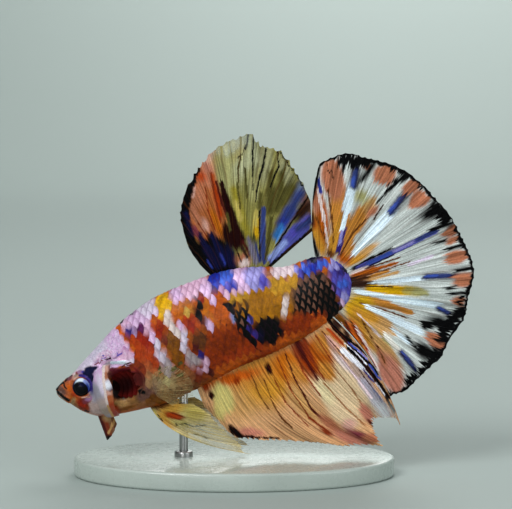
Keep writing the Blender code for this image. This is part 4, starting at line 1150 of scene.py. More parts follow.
ANAL_PATCHES = [
    ("peach", 29.2, -14.6, 4.6, 5, 0.4, -20), ("pale_orange", 28, -11, 3, 3, 0.6),
    ("ochre", 32.8, -9.4, 4, 4.4, 0.5, 6), ("gold_brown", 31, -7.6, 4.6, 2, 0.6),
    ("orange", 27.4, -7.2, 4.6, 0.9, 0.5, -4), ("bright_orange", 36.8, -8, 2.4, 3),
    ("pale_yellow", 25.2, -9.8, 1.6, 2.6, 0.3, 4), ("pale_yellow", 24, -11.6, 1, 1.6, 0.5, -20),
    ("peach", 22.3, -9, 0.8, 3.2, 0.4, 6), ("rust", 23.1, -7, 0.6, 1, 0.6),
    ("dark_maroon", 23.5, -8.8, 0.45, 0.7, 0.4), ("rust", 28.2, -7.8, 0.6, 0.6),
    ("dark_maroon", 33.7, -7.6, 0.5, 1, 0.4), ("pale_orange", 37.6, -14.8, 1.8, 3.4, 0.5, 22),
    ("gold_brown", 38, -10.6, 1.2, 2.8, 0.5, 16), ("warm_cream", 42.6, -16, 2.7, 5.2, 0.3, 24),
    ("warm_cream", 45.8, -15, 1.5, 5.6, 0.35, 18), ("cream", 41.2, -14.2, 1.1, 2.2, 0.5, 14),
    ("peach", 39.2, -15, 0.9, 3.4, 0.5, 20), ("orange_brown", 41.6, -8.2, 2.8, 3, 0.35),
    ("gold_brown", 42.4, -11, 1.2, 1.8, 0.4, 14), ("gold_brown", 43.8, -6.4, 1.6, 2, 0.5, 20),
    ("rust", 39.9, -7.6, 1.2, 3.4, 0.6, 6), ("red_brown", 39.6, -6, 1.2, 1.6, 0.6),
    ("pale_pink", 44.6, -7, 0.5, 1.4, 0.5, 20), ("cream_pink", 45.2, -10.2, 0.5, 2.2, 0.6, 22),
    # Strong rays.
    ("maroon", [(39.4, -4.8), (39.7, -7.6), (40.6, -11.6)], [0.9, 0.5], 0.7),
    ("red_brown", [(40.6, -4.8), (40.8, -8.4), (41.6, -12)], [0.6, 0.3], 0.6),
    ("red_brown", [(38.4, -5.2), (38.9, -10), (40.2, -14.4)], 0.24, 0.6),
    ("red_brown", [(42.6, -5), (43.8, -9.6)], 0.24, 0.6),
    ("maroon", [(43.8, -4.6), (45.4, -8.4), (46.2, -10.6)], 0.22, 0.6),
    ("clay", [(41.4, -12.6), (43.4, -17.4), (45.6, -21.4)], 0.22, 0.7),
    ("clay", [(43.6, -10.4), (45.4, -14.8), (46.6, -19.2)], 0.2, 0.7),
    ("maroon", [(37, -6.2), (37.3, -11), (38.2, -16), (40, -19.6)], [0.24, 0.3, 0.45]),
    ("red_brown", [(35.6, -6.4), (36, -12), (37.4, -17.4), (39.8, -20.8)], [0.2, 0.24, 0.36]),
    ("red_brown", [(34, -9.4), (34.6, -14), (36.8, -18.6)], 0.18, 0.7),
    ("brown", [(32.4, -9), (32.6, -13.4), (33.2, -16), (34.3, -17.9)], [0.18, 0.26, 0.34]),
    ("brown", [(30.7, -7.4), (30.9, -11), (31.6, -14)], 0.2, 0.8),
    ("maroon", [(40, -19.4), (42.4, -22.4), (45.2, -24.6)], [0.5, 0.5], 0.4),
    ("maroon", [(42.4, -20.4), (43.6, -22.2)], 0.4),
    # The rosy lower rear.
    ("salmon", 40.3, -19.4, 0.8, 2.2, 0.5, 30), ("red_brown", 39.4, -20.6, 0.4, 1.2, 0.6, 45),
    ("pale_pink", 43.2, -20.4, 1.1, 1, 0.6), ("rose", 43, -22.7, 2.9, 1.2, 0.4, -36),
    ("plum", 44.4, -22.6, 1.8, 0.6, 0.7, -40), ("salmon", 45.8, -23.6, 1.4, 0.8, 0.5, -20),
    ("rose", 46.5, -19.6, 0.9, 1.7, 0.4, 10), ("maroon", 46.6, -21.4, 0.25, 0.9, 0.6, 25),
    # The dark lower front.
    ("rose", 27.6, -16.6, 2.6, 0.7, 0.6, -28),
    ("dark_maroon", [(24.8, -14.6), (25.9, -16.4), (28.4, -17.9), (31.8, -19.2)], [0.8, 0.5, 0.3]),
    ("ink", [(24.9, -15.2), (25.9, -16.7)], 0.95),
    # The black, blue and white rear edge.
    ("orange_red", [(44.9, -4.6), (46.2, -7.4)], 0.6, 0.7), ("dark_brown", 46.6, -4.2, 0.9, 1.3, 0.5, 30),
    ("dark_brown", 47.5, -6.4, 0.4, 0.9, 0.5, 20), ("beige", 47.4, -13.4, 0.9, 3.2, 0.6, 17),
    ("grey_lilac", [(47.6, -14.6), (48.6, -18), (49.4, -20.6)], 1.6, 0.6),
    ("pale_pink", [(44.5, -5.7), (45.4, -7.5), (46.1, -8.6)], 0.4),
    ("pearl_pink", [(45.3, -9.4), (46.2, -12), (47.2, -15), (48, -17.4)], 0.34),
    ("bright_pearl", [(46.1, -8.7), (47.2, -10.6), (48.1, -12.3)], [0.95, 0.75], 0.35),
    ("bright_pearl", [(48.1, -12.3), (49.1, -14.8)], 0.34, 0.4),
    ("ink", [(45.4, -3.2), (45.8, -4.6), (46.6, -6.2), (47.6, -7.6)], [0.6, 0.75, 0.75], 0.25),
    ("ink", [(47.3, -7.2), (48.5, -8.8), (49.5, -10.6)], 0.42, 0.3),
    ("ink", [(46.6, -6.6), (47.8, -9), (49, -11.2), (50.2, -14)], [0.5, 0.75, 0.6], 0.25),
    ("ink", [(47, -8.4), (48.2, -10.8), (49, -13), (49.8, -15.6), (50.6, -18.2)], 0.75, 0.25),
    ("ink", [(49.6, -15.8), (50.3, -18.4), (50.8, -20.8)], 0.4, 0.4),
    ("bright_indigo", [(47.3, -7.8), (48.5, -9.6), (49.3, -11.2)], 0.28, 0.4),
    ("pale_violet", [(48.4, -9.6), (49.4, -11.3)], 0.22),
    ("bright_indigo", [(49.4, -12.2), (49.9, -14.2), (50.3, -15)], 0.3, 0.4),
    ("bright_pearl", [(46.7, -7.6), (47.9, -9.7), (49, -12.2)], 0.16),
    ("indigo", [(48.1, -12.4), (48.6, -13.8), (49.1, -15.1)], 0.3, 0.6),
    ("bright_pearl", [(49.4, -15.3), (50.1, -17.6)], 0.22),
    ("dark_brown", [(47.5, -12.4), (48.3, -15), (49.2, -17.6)], 0.16, 0.6),
    ("slate", [(48.6, -16), (49.8, -19.6)], 0.24, 0.6),
]
ANAL_CLEAR = [
    (49.6, -21, 1.6, 2.4),
    (48.5, -19.4, 1.1, 2.4, 0.5, 14),
]
PELVIC_PATCHES = [
    ("amber", 15.6, -10, 1.9, 2.6, 0.5, -35), ("amber", 17.6, -8.6, 2.4, 0.8, 0.5, -12),
    ("olive_tan", 20.4, -10.4, 2.2, 1.4, 0.6, -40), ("straw", 22.8, -12.6, 1.4, 1.6, 0.6, -50),
    ("pale_yellow", 17.4, -11, 1.6, 0.9, 0.6, -40), ("brown", 15.4, -7.3, 2.2, 0.9),
    ("red_brown", 17, -9.8, 1.6, 0.62, 0.3, -28), ("orange_red", 16.9, -9.8, 1.2, 0.36, 0.6, -28),
    ("ink", [(14.4, -9), (14.7, -10)], 0.3),
    ("dark_olive", [(16.6, -11.3), (18.2, -11.5), (19.4, -12.4), (21.4, -12.7)], 0.26),
    ("dark_olive", [(19.9, -12.5), (20.6, -13.4)], 0.2),
    ("dark_olive", [(19.1, -13.7), (20.2, -14.2), (21, -15)], 0.24),
    ("olive_tan", [(14, -8), (14.6, -10.8), (17, -13.2), (22, -17)], 0.3, 0.7),
]
PECTORAL_PATCHES = [
    ("beige", 16, -4.2, 1.4, 1.6), ("straw", 17.8, -5.4, 2.2, 1.2, 0.6, -12),
    ("dark_olive", [(16.4, -3.2), (17.5, -2.1)], 0.22), ("dark_olive", [(17, -3.3), (18.4, -2.6)], 0.2),
    ("dark_olive", [(18.9, -3.1), (20.6, -2.6)], 0.24), ("dark_olive", [(19.1, -3.6), (21.2, -3.4)], 0.24),
    ("dark_olive", [(18.8, -4.1), (20.8, -4.2)], 0.2),
]


# ---------- Skin ----------


def body_material(name, scaled):
    """Paint of the bare skin or, with scaled, of the plates, which also have rims, a painted highlight across
    the middle of each scale and a net of ink.
    """
    material, tree, shader = new_material(
        name, Coat_Roughness=0.16, Specular_IOR_Level=0.08, Coat_Weight=0.08
    )
    mark, spot = attribute(tree, "mark"), attribute(tree, "spot")
    amount, scale = (0.4, 1.1) if scaled else (0.34, 1.7)
    place = roughen(tree, mark, amount, scale)
    colour = paint(tree, srgb("orange_brown"), place, BODY_BASE + FLANK_PATCHES + HEAD_PATCHES)
    parts = add(tree, "ShaderNodeSeparateColor", {0: colour})
    red, blue = parts.outputs[0], parts.outputs[2]
    cool = ease(tree, calc(tree, "SUBTRACT", blue, times(tree, red, 0.35)), 0.0, 0.12)
    fine = noise(tree, spot, 5.0, 3.0, 0.6)
    cloud = noise(tree, spot, 1.1, 3.0, 0.65)
    low = ease(tree, cool, 0.0, 1.0, 0.62, 0.86)
    high = ease(tree, cool, 0.0, 1.0, 1.3, 1.1)
    mottle = add(tree, "ShaderNodeMapRange", {0: cloud, 1: 0.32, 2: 0.66, 3: low, 4: high}).outputs[0]
    speckle = ease(tree, fine, 0.3, 0.72, 0.86, 1.12)
    tone = times(tree, mottle, speckle)
    colour = toned(tree, colour, tone)
    nape = patch_mask(tree, place, 9.8, 3.0, 4.6, 2.2, 0.35, 24)
    nape = times(tree, nape, times(tree, cool, ease(tree, red, 0.15, 0.4)))
    vein = noise(tree, spot, 1.5, 3.0, 0.6)
    vein = ease(tree, calc(tree, "ABSOLUTE", calc(tree, "SUBTRACT", vein, 0.5)), 0.035, 0.0, 0.0, 0.5)
    colour = blend(tree, times(tree, nape, vein), colour, srgb("brown_violet"))
    pale = ease(tree, noise(tree, spot, 2.6, 2.0), 0.5, 0.68, 0.0, 0.4)
    colour = blend(tree, times(tree, nape, pale), colour, srgb("bright_pearl"))
    if scaled:
        near_edge = axes(tree, own_uv(tree, "scale"))["X"]
        netted = patch_mask(tree, mark, *NETS[0])
        for net in NETS[1:]:
            netted = calc(tree, "MAXIMUM", netted, patch_mask(tree, mark, *net))
        behind = axes(tree, mark)["X"]
        scaly = ease(tree, behind, 11.0, 16.0, 0.15, 1.0)
        plain = times(tree, scaly, ease(tree, cool, 0, 1, 0.3, 1))
        rim = times(tree, ease(tree, near_edge, 0.74, 1.0, 0.0, 0.5), plain)
        colour = blend(tree, rim, colour, blend(tree, 0.6, colour, srgb("scale_edge")))
        # Painted highlight: white soft light across the middle of each scale's bare part, mostly on the blue
        # and lavender scales.
        painted_scale_highlight = times(tree, ease(tree, near_edge, 0.45, 0.66, 0.0, 0.3), cool)
        painted_scale_highlight = times(tree, painted_scale_highlight, ease(tree, near_edge, 0.7, 0.8, 1.0, 0.0))
        colour = blend(tree, painted_scale_highlight, colour, (1, 1, 1, 1), "SOFT_LIGHT")
        band = ease(tree, near_edge, 0.68, 0.75)
        colour = blend(tree, times(tree, band, netted), colour, srgb("ink"))
    blueness = calc(tree, "SUBTRACT", blue, times(tree, red, 0.7))
    metallic = ease(tree, blueness, 0.02, 0.3, 0.0, 0.2)
    rough = ease(tree, fine, 0.3, 0.7, 0.34, 0.5)
    normal = relief(tree, fine, 0.04, 0.7)
    join(tree, shader, Base_Color=colour, Metallic=metallic, Roughness=rough, Normal=normal)
    return material


# Share of the way along the skin's grid, and the x it lies at.
SKIN_STATIONS = ((0.0, 0.0), (0.05, 0.35), (0.42, 14.0), (0.55, 18.5), (0.95, 49.8), (1.0, BODY_END))
SKIN_ALONG, SKIN_ROUND = 300, 168
NOSE_ROUNDING, TAIL_ROUNDING = 0.28, 0.3
FLESH = ("head", "lower_jaw", "trunk_front", "trunk_middle", "trunk_rear", "tail_root")


def distance_to_line(x, z, line):
    """Distance of points from an open line of straight pieces, and how far along it they lie."""
    best = np.full(np.shape(x), 1e9)
    share = np.zeros(np.shape(x))
    for n, ((x0, z0), (x1, z1)) in enumerate(zip(line, line[1:])):
        dx, dz = x1 - x0, z1 - z0
        t = np.clip(((x - x0) * dx + (z - z0) * dz) / (dx * dx + dz * dz), 0, 1)
        gap = np.hypot(x - x0 - t * dx, z - z0 - t * dz)
        share = np.where(gap < best, (n + t) / (len(line) - 1), share)
        best = np.minimum(best, gap)
    return best, share


GILL_FOLD = ((9.1, 2.1), (10.6, 2.0), (12.5, 1.3), (13.8, 0.1), (14.3, -2.0), (13.8, -4.2), (12.8, -5.6))
CHEEK_LINE = ((5.9, 0.6), (5.2, -2.4), (3.9, -4.2))
NOSTRIL = (2.2, 0.85)
MOUTH_GROOVE, LIP_ROLL = 0.42, 0.16
NOSTRIL_RIM, NOSTRIL_DEPTH = 0.09, 0.3
EYELID, SOCKET_DEPTH = 0.14, 0.55
GILL_POCKET_DEPTH = 1.5
GILL_FOLD_RISE, GILL_FOLD_GROOVE = 0.2, 0.14
CHEEK_GROOVE = 0.07


def skin_relief(points):
    """How far the skin stands out (+) or in (-) from the body's plain form, in mm."""
    x, y, z = points[..., 0], np.abs(points[..., 1]), points[..., 2]
    out = np.zeros(x.shape)
    gap, share = distance_to_line(x, z, MOUTH)
    fade = 1 - ramp(share, 0.82, 1.0) * ramp(gap, 0.0, 0.1)
    out -= MOUTH_GROOVE * np.exp(-((gap / 0.13) ** 2)) * fade
    out += LIP_ROLL * bump(gap, 0.36, 0.17) * (1 - ramp(x, 1.3, 2.1))
    nostril = np.hypot(x - NOSTRIL[0], z - NOSTRIL[1])
    pit = NOSTRIL_RIM * bump(nostril, 0.34, 0.12) - NOSTRIL_DEPTH * bump(nostril, 0.0, 0.19)
    out += np.where(y > 0.4, pit, 0)
    eye = np.hypot(x - EYE_AT[0], z - EYE_AT[2])
    socket = SOCKET_DEPTH * (1 - ramp(eye, EYE_RADIUS - 0.25, EYE_RADIUS + 0.02))
    out += EYELID * bump(eye, EYE_RADIUS + 0.2, 0.16) - socket
    gill = np.hypot((x - GILL_AT[0]) / GILL_POCKET[0], (z - GILL_AT[1]) / GILL_POCKET[1])
    out -= GILL_POCKET_DEPTH * (1 - ramp(gill, 0.55, 1.08))
    fold, along = distance_to_line(x, z, GILL_FOLD)
    out += GILL_FOLD_RISE * bump(fold, 0, 0.3) * (1 - ramp(along, 0.85, 1.0)) * ramp(gill, 0.8, 1.1)
    out -= GILL_FOLD_GROOVE * bump(fold - 0.62, 0, 0.2) * (gill > 1.05) * (1 - ramp(along, 0.3, 0.6))
    cheek, _ = distance_to_line(x, z, CHEEK_LINE)
    out -= CHEEK_GROOVE * bump(cheek, 0, 0.14)
    return out


def make_skin():
    station = smooth_curve(SKIN_STATIONS)

    def place(u, v):
        result = np.empty((len(u), 3))
        for share in np.unique(u):
            here = u == share
            x = float(station(share))
            inner_x = min(max(x, 0.02), BODY_END - 0.02)
            turns, lengths = turns_by_length(inner_x)
            turn = np.interp(v[here] * lengths[-1], lengths, turns)
            where = np.full(turn.shape, inner_x)
            point, normal = body_point(where, turn), body_normal(where, turn)
            stands = skin_relief(point)
            depth = min(COAT_DEPTH * (0.3 + 0.7 * float(ramp(x, 5, 9))), float(half_at(x)) * 0.4)
            point = point + normal * (stands - depth)[:, None]
            middle = np.array([x, 0.0, float(back_at(x) + belly_at(x)) / 2])
            nose = math.sqrt(max(0.0, 1 - max(0.0, 1 - x / NOSE_ROUNDING) ** 2)) ** 0.8
            tail = math.sqrt(max(0.0, 1 - max(0.0, 1 - (BODY_END - x) / TAIL_ROUNDING) ** 2))
            result[here] = middle + (point - middle) * (nose * tail)
            result[here, 0] = np.clip(x, 0.03, BODY_END - 0.05) + normal[:, 0] * stands
        return result

    skin = shaped_grid("skin", SKIN_ALONG, SKIN_ROUND, place)
    edit(skin, weld, face_out)
    write_marks(skin, lean=True)
    write_vectors(skin, "spot", in_fish(corners(skin)))
    smooth(skin, 70)
    dress(skin, body_material("painted_skin", False), "pearl_skin", *FLESH)


make_skin()

# ---------- Scales ----------

ROW_PITCH = smooth_curve(((6.0, 0.9), (14.0, 1.25), (30.0, 1.25), (44.0, 1.15), (51.0, 1.0)))
SCALE_STEP = smooth_curve(((6.0, 0.9), (14.0, 1.2), (30.0, 1.15), (44.0, 1.08), (51.0, 0.95)))
SCALE_OVERLAP = 1.5
SCALE_SUNK, SCALE_RISE, SCALE_DOME = 0.06, 0.2, 0.05
SCALE_THICKNESS = 0.07
FIRST_TIP, LAST_TIP = 7.0, 51.2
ROWS_EACH_SIDE = 14
NAPE_END, NAPE_HEIGHT = 12.6, 2.6
UNWRAP_LENGTH, UNWRAP_PATCH = 52, 0.003
# Name, slot, and the x of the free tips that each piece takes up.
SCALE_PARTS = (
    ("scales_nape", "pearl_skin", 0.0, 14.6),
    ("scales_front", "pearl_skin", 14.6, 22.6),
    ("scales_middle", "orange_flank", 22.6, 33.0),
    ("scales_rear", "orange_flank", 33.0, 43.0),
    ("scales_tail", "blue_black_tail", 43.0, 60.0),
)


def scale_form():
    """One plate: a closed sheet in its own units, along 0..1 to the free edge, across -1..1."""
    plate = unit_grid("plate", 4, 6)[0]
    apply_modifier(plate, "SOLIDIFY", thickness=0.1, offset=-1.0)
    flat = corners(plate)
    top = flat[:, 2] > -0.05
    faces = [tuple(face.vertices) for face in plate.data.polygons]
    bpy.data.objects.remove(plate)
    return (flat[:, 0] + 1) / 2, flat[:, 1], top, faces


def scale_places():
    """(x of the free tip, turn, step along, pitch round, share of the girth) of every scale."""
    places = []
    tips = [FIRST_TIP]
    while tips[-1] < LAST_TIP:
        tips.append(tips[-1] + float(SCALE_STEP(tips[-1])) / 2)
    for column, tip in enumerate(tips):
        step = float(SCALE_STEP(tip))
        root = tip - step / 2
        if root > BODY_END - 0.1:
            continue
        turns, lengths = turns_by_length(root)
        high = lengths[-1] / 2
        middle = float(np.interp(0.0, turns, lengths))
        pitch = float(ROW_PITCH(tip))
        for row in range(-ROWS_EACH_SIDE, ROWS_EACH_SIDE + 1):
            if (row + column) % 2:
                continue
            arc = middle + (row + 0.4) * pitch
            if not -0.35 * pitch < arc < high + 0.35 * pitch:
                continue
            turn = float(np.interp(min(max(arc, 0.0), high), lengths, turns))
            point = body_point(np.array(root), np.array(turn))
            border = NAPE_HEIGHT if root < NAPE_END else NAPE_HEIGHT - (root - NAPE_END) * NAPE_HEIGHT
            if root < 14.0 and point[2] < border:
                continue
            places.append((tip, turn, step, pitch, arc / lengths[-1]))
    return places


def make_scales():
    along, across, top, faces = scale_form()
    tip, turn, step, pitch, share = (column[:, None] for column in np.array(scale_places()).T)
    number = np.arange(len(tip))[:, None]
    length = step * SCALE_OVERLAP
    for side in (1, -1):
        own = hashed(number * 2 + (side > 0))
        reach = np.abs(across)[None, :]
        free = tip - step / 2 * reach**2.2 + 0.06 * (own - 0.5)
        front = tip - length
        x = front + (free - front) * along[None, :]
        width = pitch * (1.02 - 0.3 * (1 - along[None, :]) ** 2)
        here = np.minimum(tip - step / 2, BODY_END - 0.1)
        moved = body_point(here, turn + NEARBY) - body_point(here, turn - NEARBY)
        stretch = np.linalg.norm(moved, axis=-1) / (2 * NEARBY)
        around = turn + across[None, :] * width / np.maximum(stretch, 0.05)
        x = np.clip(x, 0.1, BODY_END - 0.02)
        point, normal = body_point(x, around), body_normal(x, around)
        rise = SCALE_RISE * (x - front) / length + SCALE_DOME * (1 - reach**2) * along[None, :]
        rise = rise * (0.45 + 0.55 * ramp(tip, 9, 16))
        lift = -COAT_DEPTH - SCALE_SUNK + rise - np.where(top, 0, SCALE_THICKNESS)[None, :]
        lift = lift * np.minimum(1, half_at(x) / 1.2)
        points = point + normal * lift[..., None]
        centre_x = np.minimum(tip - step * 0.45, BODY_END)
        centre = body_point(centre_x, turn)
        mark = centre + (0.25 + 0.65 * reach**3)[..., None] * (points - centre)
        points[..., 1] *= side
        mark[..., 1] *= side
        local_x = np.broadcast_to(along, x.shape)
        local_y = (across[None, :] + 1 + 0 * x) / 2
        unwrap_x = centre_x / UNWRAP_LENGTH + UNWRAP_PATCH * (along[None, :] - 0.5)
        girth = share if side > 0 else 1 - share
        unwrap_y = girth + UNWRAP_PATCH * (across[None, :] / 2)
        for name, slot_name, low, high in SCALE_PARTS:
            chosen = np.flatnonzero((tip[:, 0] > low) & (tip[:, 0] <= high))
            side_name = "right" if side < 0 else "left"
            plates = join_plates(f"{name}_{side_name}", points[chosen], faces, side < 0)
            write_vectors(plates, "mark", leaned(mark[chosen]))
            write_vectors(plates, "spot", points[chosen])
            lay_uvs(plates, "scale", local_x[chosen], local_y[chosen])
            lay_uvs(plates, "OFBake", unwrap_x[chosen], unwrap_y[chosen])
            smooth(plates, 50)
            dress(plates, SCALE_COAT, slot_name)


def join_plates(name, points, faces, turned):
    """One mesh of many plates: the plate's faces repeated over rows of points."""
    count, each = points.shape[:2]
    mesh = bpy.data.meshes.new(name)
    order = [face[::-1] for face in faces] if turned else faces
    every = [tuple(n * each + corner for corner in face) for n in range(count) for face in order]
    flat = in_row(points.reshape(-1, 3))
    mesh.from_pydata(flat.tolist(), [], every)
    piece = bpy.data.objects.new(name, mesh)
    bpy.context.scene.collection.objects.link(piece)
    return piece


def lay_uvs(piece, name, across, up):
    """A UV map from two numbers for each corner point."""
    layer = piece.data.uv_layers.new(name=name)
    corner = corner_of_loop(piece)
    pairs = np.stack([across.ravel()[corner], up.ravel()[corner]], -1)
    layer.data.foreach_set("uv", pairs.astype(np.float32).ravel())


SCALE_COAT = body_material("painted_scales", True)
make_scales()

# ---------- Fins ----------


def dorsal_root(u):
    x = DORSAL_ROOT[0] + (DORSAL_ROOT[1] - DORSAL_ROOT[0]) * u
    return x, back_at(x) - 0.35


def caudal_root(u):
    angle = CAUDAL_ROOT_TOP + (CAUDAL_ROOT_BOTTOM - CAUDAL_ROOT_TOP) * u
    x, z = CAUDAL_CENTRE
    return x + CAUDAL_ROOT_RADIUS * np.cos(angle), z + CAUDAL_ROOT_RADIUS * np.sin(angle)


def anal_root(u):
    x = ANAL_ROOT[0] + (ANAL_ROOT[1] - ANAL_ROOT[0]) * u
    return x, belly_at(x) + 0.4


def straight_root(ends):
    (x0, z0), (x1, z1) = ends
    return lambda u: (x0 + (x1 - x0) * u, z0 + (z1 - z0) * u)


def sway(amount, waves, phase):
    return lambda u, v, x, z: amount * v**1.6 * np.sin(2 * np.pi * (waves * u + phase))


def pectoral_sway(u, v, x, z):
    root_x = straight_root(PECTORAL_ROOT)(u)[0]
    away = (x - root_x) * math.tan(PECTORAL_SWING) + 0.25 * v * np.sin(9 * u)
    return flank(np.minimum(root_x, 16), -4.5) + 0.1 + 0.6 * v**0.5 + away


def pelvic_sway(side):
    near, far = PELVIC_SPREAD
    return lambda u, v, x, z: near + (far - near) * v + 0.5 * v * np.sin(7 * u + side)


def ray_crest(u, v, rays, forks):
    """1 on the crest of a ray and 0 between. Each ray forks in two beyond the share forks."""
    near = np.cos(2 * np.pi * rays * u)
    far = np.cos(2 * np.pi * rays * 2 * u)
    mix = ramp(v, forks - 0.12, forks + 0.12)
    crest = (1 - mix) * near + mix * far
    return np.clip(crest, 0, 1) ** 1.5


def fringe(u, tips, depth, seed):
    """How much shorter the fin is at u, as its skin draws back between the tips of its rays."""
    where = u * tips + 0.4 * np.sin(11 * u + seed) + 0.3 * np.sin(37 * u)
    cell = np.floor(where)
    own = 0.15 + 0.85 * hashed(cell + seed)
    between = np.abs(2 * (where - cell) - 1)
    return depth * (own * (1 - between**2) + 0.4 * (1 + np.sin(23 * u + seed)) / 2)


def make_fin(
    name,
    node,
    slot_name,
    root,
    rays,
    bend,
    material,
    across,
    along,
    ray_count,
    forks,
    tips,
    depth,
    thickness,
    side=0,
    bow_at=0.5,
):
    """A fin as a thin closed sheet, thicker along its rays, in place of its CAD node."""

    def place(u, v):
        v = v * (1 - fringe(u, tips, depth, len(name)) * ramp(u, 0, 0.01) * ramp(u, 1, 0.99))
        x, z = fin_points(root, rays, u, v, bow_at)
        y = side * bend(u, v, x, z) if side else bend(u, v, x, z)
        return np.stack([x, y + 0 * x, z], -1)

    fin = shaped_grid(name, across, along, place)
    flat = np.empty(len(fin.data.loops) * 2)
    fin.data.uv_layers[0].data.foreach_get("uv", flat)
    share = np.zeros((len(fin.data.vertices), 2))
    share[corner_of_loop(fin)] = flat.reshape(-1, 2)
    u, v = share[:, 0], share[:, 1]
    near, far = place(u, np.maximum(v - 0.02, 0)), place(u, np.minimum(v + 0.02, 1))
    way = far - near
    way[:, 1] = 0
    write_marks(fin)
    write_vectors(fin, "ray_way", way / np.maximum(np.linalg.norm(way, axis=1, keepdims=True), 1e-9))
    crest = ray_crest(u, v, ray_count, forks) * (1 - 0.55 * v)
    group = fin.vertex_groups.new(name="rays")
    for index, weight in enumerate(crest):
        group.add([index], float(weight), "REPLACE")
    apply_modifier(
        fin,
        "SOLIDIFY",
        thickness=thickness * MM,
        offset=0.0,
        vertex_group="rays",
        thickness_vertex_group=0.35,
    )
    edit(fin, face_out)
    smooth(fin, 60)
    dress(fin, material, slot_name, node)


def fin_material(
    name,
    base,
    patches,
    clear,
    count,
    width,
    dark,
    strength,
    ink=(),
    quiet=(),
    opacity=0.94,
    ray_body=0.06,
    streak=1.6,
    lift=1.0,
    hairs=0.3,
):
    """Fin skin: paint drawn out along the rays, dark ray lines, and a see-through membrane."""
    material, tree, shader = new_material(name, Roughness=0.6, Specular_IOR_Level=0.04)
    mark, rays, way = attribute(tree, "mark"), own_uv(tree), attribute(tree, "ray_way")

    def drawn(place, streaks, amount):
        return grouped(tree, STREAKED, Place=place, Along=way, Rays=rays, Count=streaks, Amount=amount)

    coarse = drawn(mark, count * 2.3, streak)
    fine = drawn(coarse.outputs["Place"], count * 9.0, streak * 1.1)
    ragged = roughen(tree, fine.outputs["Place"], 0.3, 1.6)
    ragged = roughen(tree, ragged, 0.34, 6.0)
    colour = paint(tree, srgb(base), ragged, patches)
    thread = ease(tree, fine.outputs["Streak"], 0.32, 0.68, 0.66 * lift, 1.3 * lift)
    band = ease(tree, coarse.outputs["Streak"], 0.3, 0.7, 0.84, 1.14)
    speckle = ease(tree, noise(tree, mark, 4.5, 2.0, 0.7), 0.3, 0.7, 0.84, 1.14)
    tone = times(tree, times(tree, thread, band), speckle)
    colour = toned(tree, colour, tone)
    lines = grouped(tree, RAY_LINES, Rays=rays, Count=count, Width=width, Wander=0.5).outputs[0]
    forks = grouped(tree, RAY_LINES, Rays=rays, Count=count * 2, Width=width * 0.7, Wander=0.7).outputs[0]
    split = axes(tree, rays)
    forked = times(tree, forks, ease(tree, split["Y"], 0.35, 0.6))
    line = calc(tree, "MAXIMUM", lines, times(tree, forked, 0.8))
    deep = blend(tree, 0.6, blend(tree, 0.8, colour, srgb(dark), "MULTIPLY"), srgb(dark))
    shown = times(tree, line, strength)
    for shape in quiet:
        hushed = times(tree, mask_of(tree, mark, shape), 0.75)
        shown = times(tree, shown, calc(tree, "SUBTRACT", 1.0, hushed))
    patchy = ease(tree, coarse.outputs["Streak"], 0.3, 0.62, 1.0, 0.35)
    shown = times(tree, shown, patchy)
    shown = calc(tree, "MAXIMUM", shown, ease(tree, fine.outputs["Streak"], 0.4, 0.3, 0.0, hairs))
    colour = blend(tree, shown, colour, deep)
    inked = None
    if ink:
        torn = drawn(drawn(mark, count * 2.6, 1.6).outputs["Place"], count * 8.0, 5.4)
        rough_edge = roughen(tree, torn.outputs["Place"], 0.3, 1.6)
        for shape in ink:
            mask = mask_of(tree, rough_edge, shape)
            inked = mask if inked is None else calc(tree, "MAXIMUM", inked, mask)
        wander = times(tree, calc(tree, "SUBTRACT", coarse.outputs["Streak"], 0.5), 0.1)
        rim = ease(tree, calc(tree, "ADD", split["Y"], wander), 0.965, 0.985)
        inked = calc(tree, "MAXIMUM", inked, rim)
        colour = blend(tree, inked, colour, srgb("ink"))
    alpha = calc(tree, "MULTIPLY_ADD", line, ray_body, opacity, clamp=True)
    for shape in clear:
        mask = mask_of(tree, ragged, shape)
        seen = times(tree, mask, calc(tree, "SUBTRACT", 0.62, times(tree, line, 0.4)))
        alpha = times(tree, alpha, calc(tree, "SUBTRACT", 1.0, seen))
    height = calc(tree, "ADD", line, times(tree, fine.outputs["Streak"], 0.6))
    normal = relief(tree, height, 0.05, 0.7)
    parts = add(tree, "ShaderNodeSeparateColor", {0: colour})
    blueness = calc(tree, "SUBTRACT", parts.outputs[2], parts.outputs[0])
    join(
        tree,
        shader,
        Base_Color=colour,
        Alpha=alpha,
        Normal=normal,
        Metallic=ease(tree, blueness, 0.03, 0.3, 0.0, 0.3),
    )
    return material


DORSAL_SKIN = fin_material(
    "dorsal_membrane", "olive", DORSAL_PATCHES, DORSAL_CLEAR,
    count=15, width=0.22, dark="brown", strength=0.55, opacity=0.96, lift=1.08,
)
CAUDAL_SKIN = fin_material(
    "caudal_membrane", "grey_white", CAUDAL_PATCHES, (),
    count=21, width=0.2, dark="brown", strength=0.4, lift=1.08, hairs=0.5, ink=CAUDAL_INK,
    opacity=0.96, streak=2.4,
)
ANAL_SKIN = fin_material(
    "anal_membrane", "peach", ANAL_PATCHES, ANAL_CLEAR,
    count=27, width=0.24, dark="red_brown", strength=0.85, lift=1.2,
    quiet=((27.0, -12.0, 4.6, 8.0, 0.4), (43.6, -15.8, 4.0, 5.6, 0.4, 20)), opacity=0.97,
)
PELVIC_SKIN = fin_material(
    "pelvic_membrane", "straw", PELVIC_PATCHES,
    ((22.6, -14.8, 5.0, 2.0, 0.6, -48), (20.4, -14.6, 5.0, 0.9, 0.6, -42)),
    count=7, width=0.16, dark="olive_brown", strength=0.4, lift=1.15, opacity=0.86,
)
PECTORAL_SKIN = fin_material(
    "pectoral_membrane", "straw", PECTORAL_PATCHES, ((20.4, -4.6, 3.4, 4.4, 0.6),),
    count=13, width=0.22, dark="olive_brown", strength=0.7, opacity=0.14, ray_body=0.4,
)

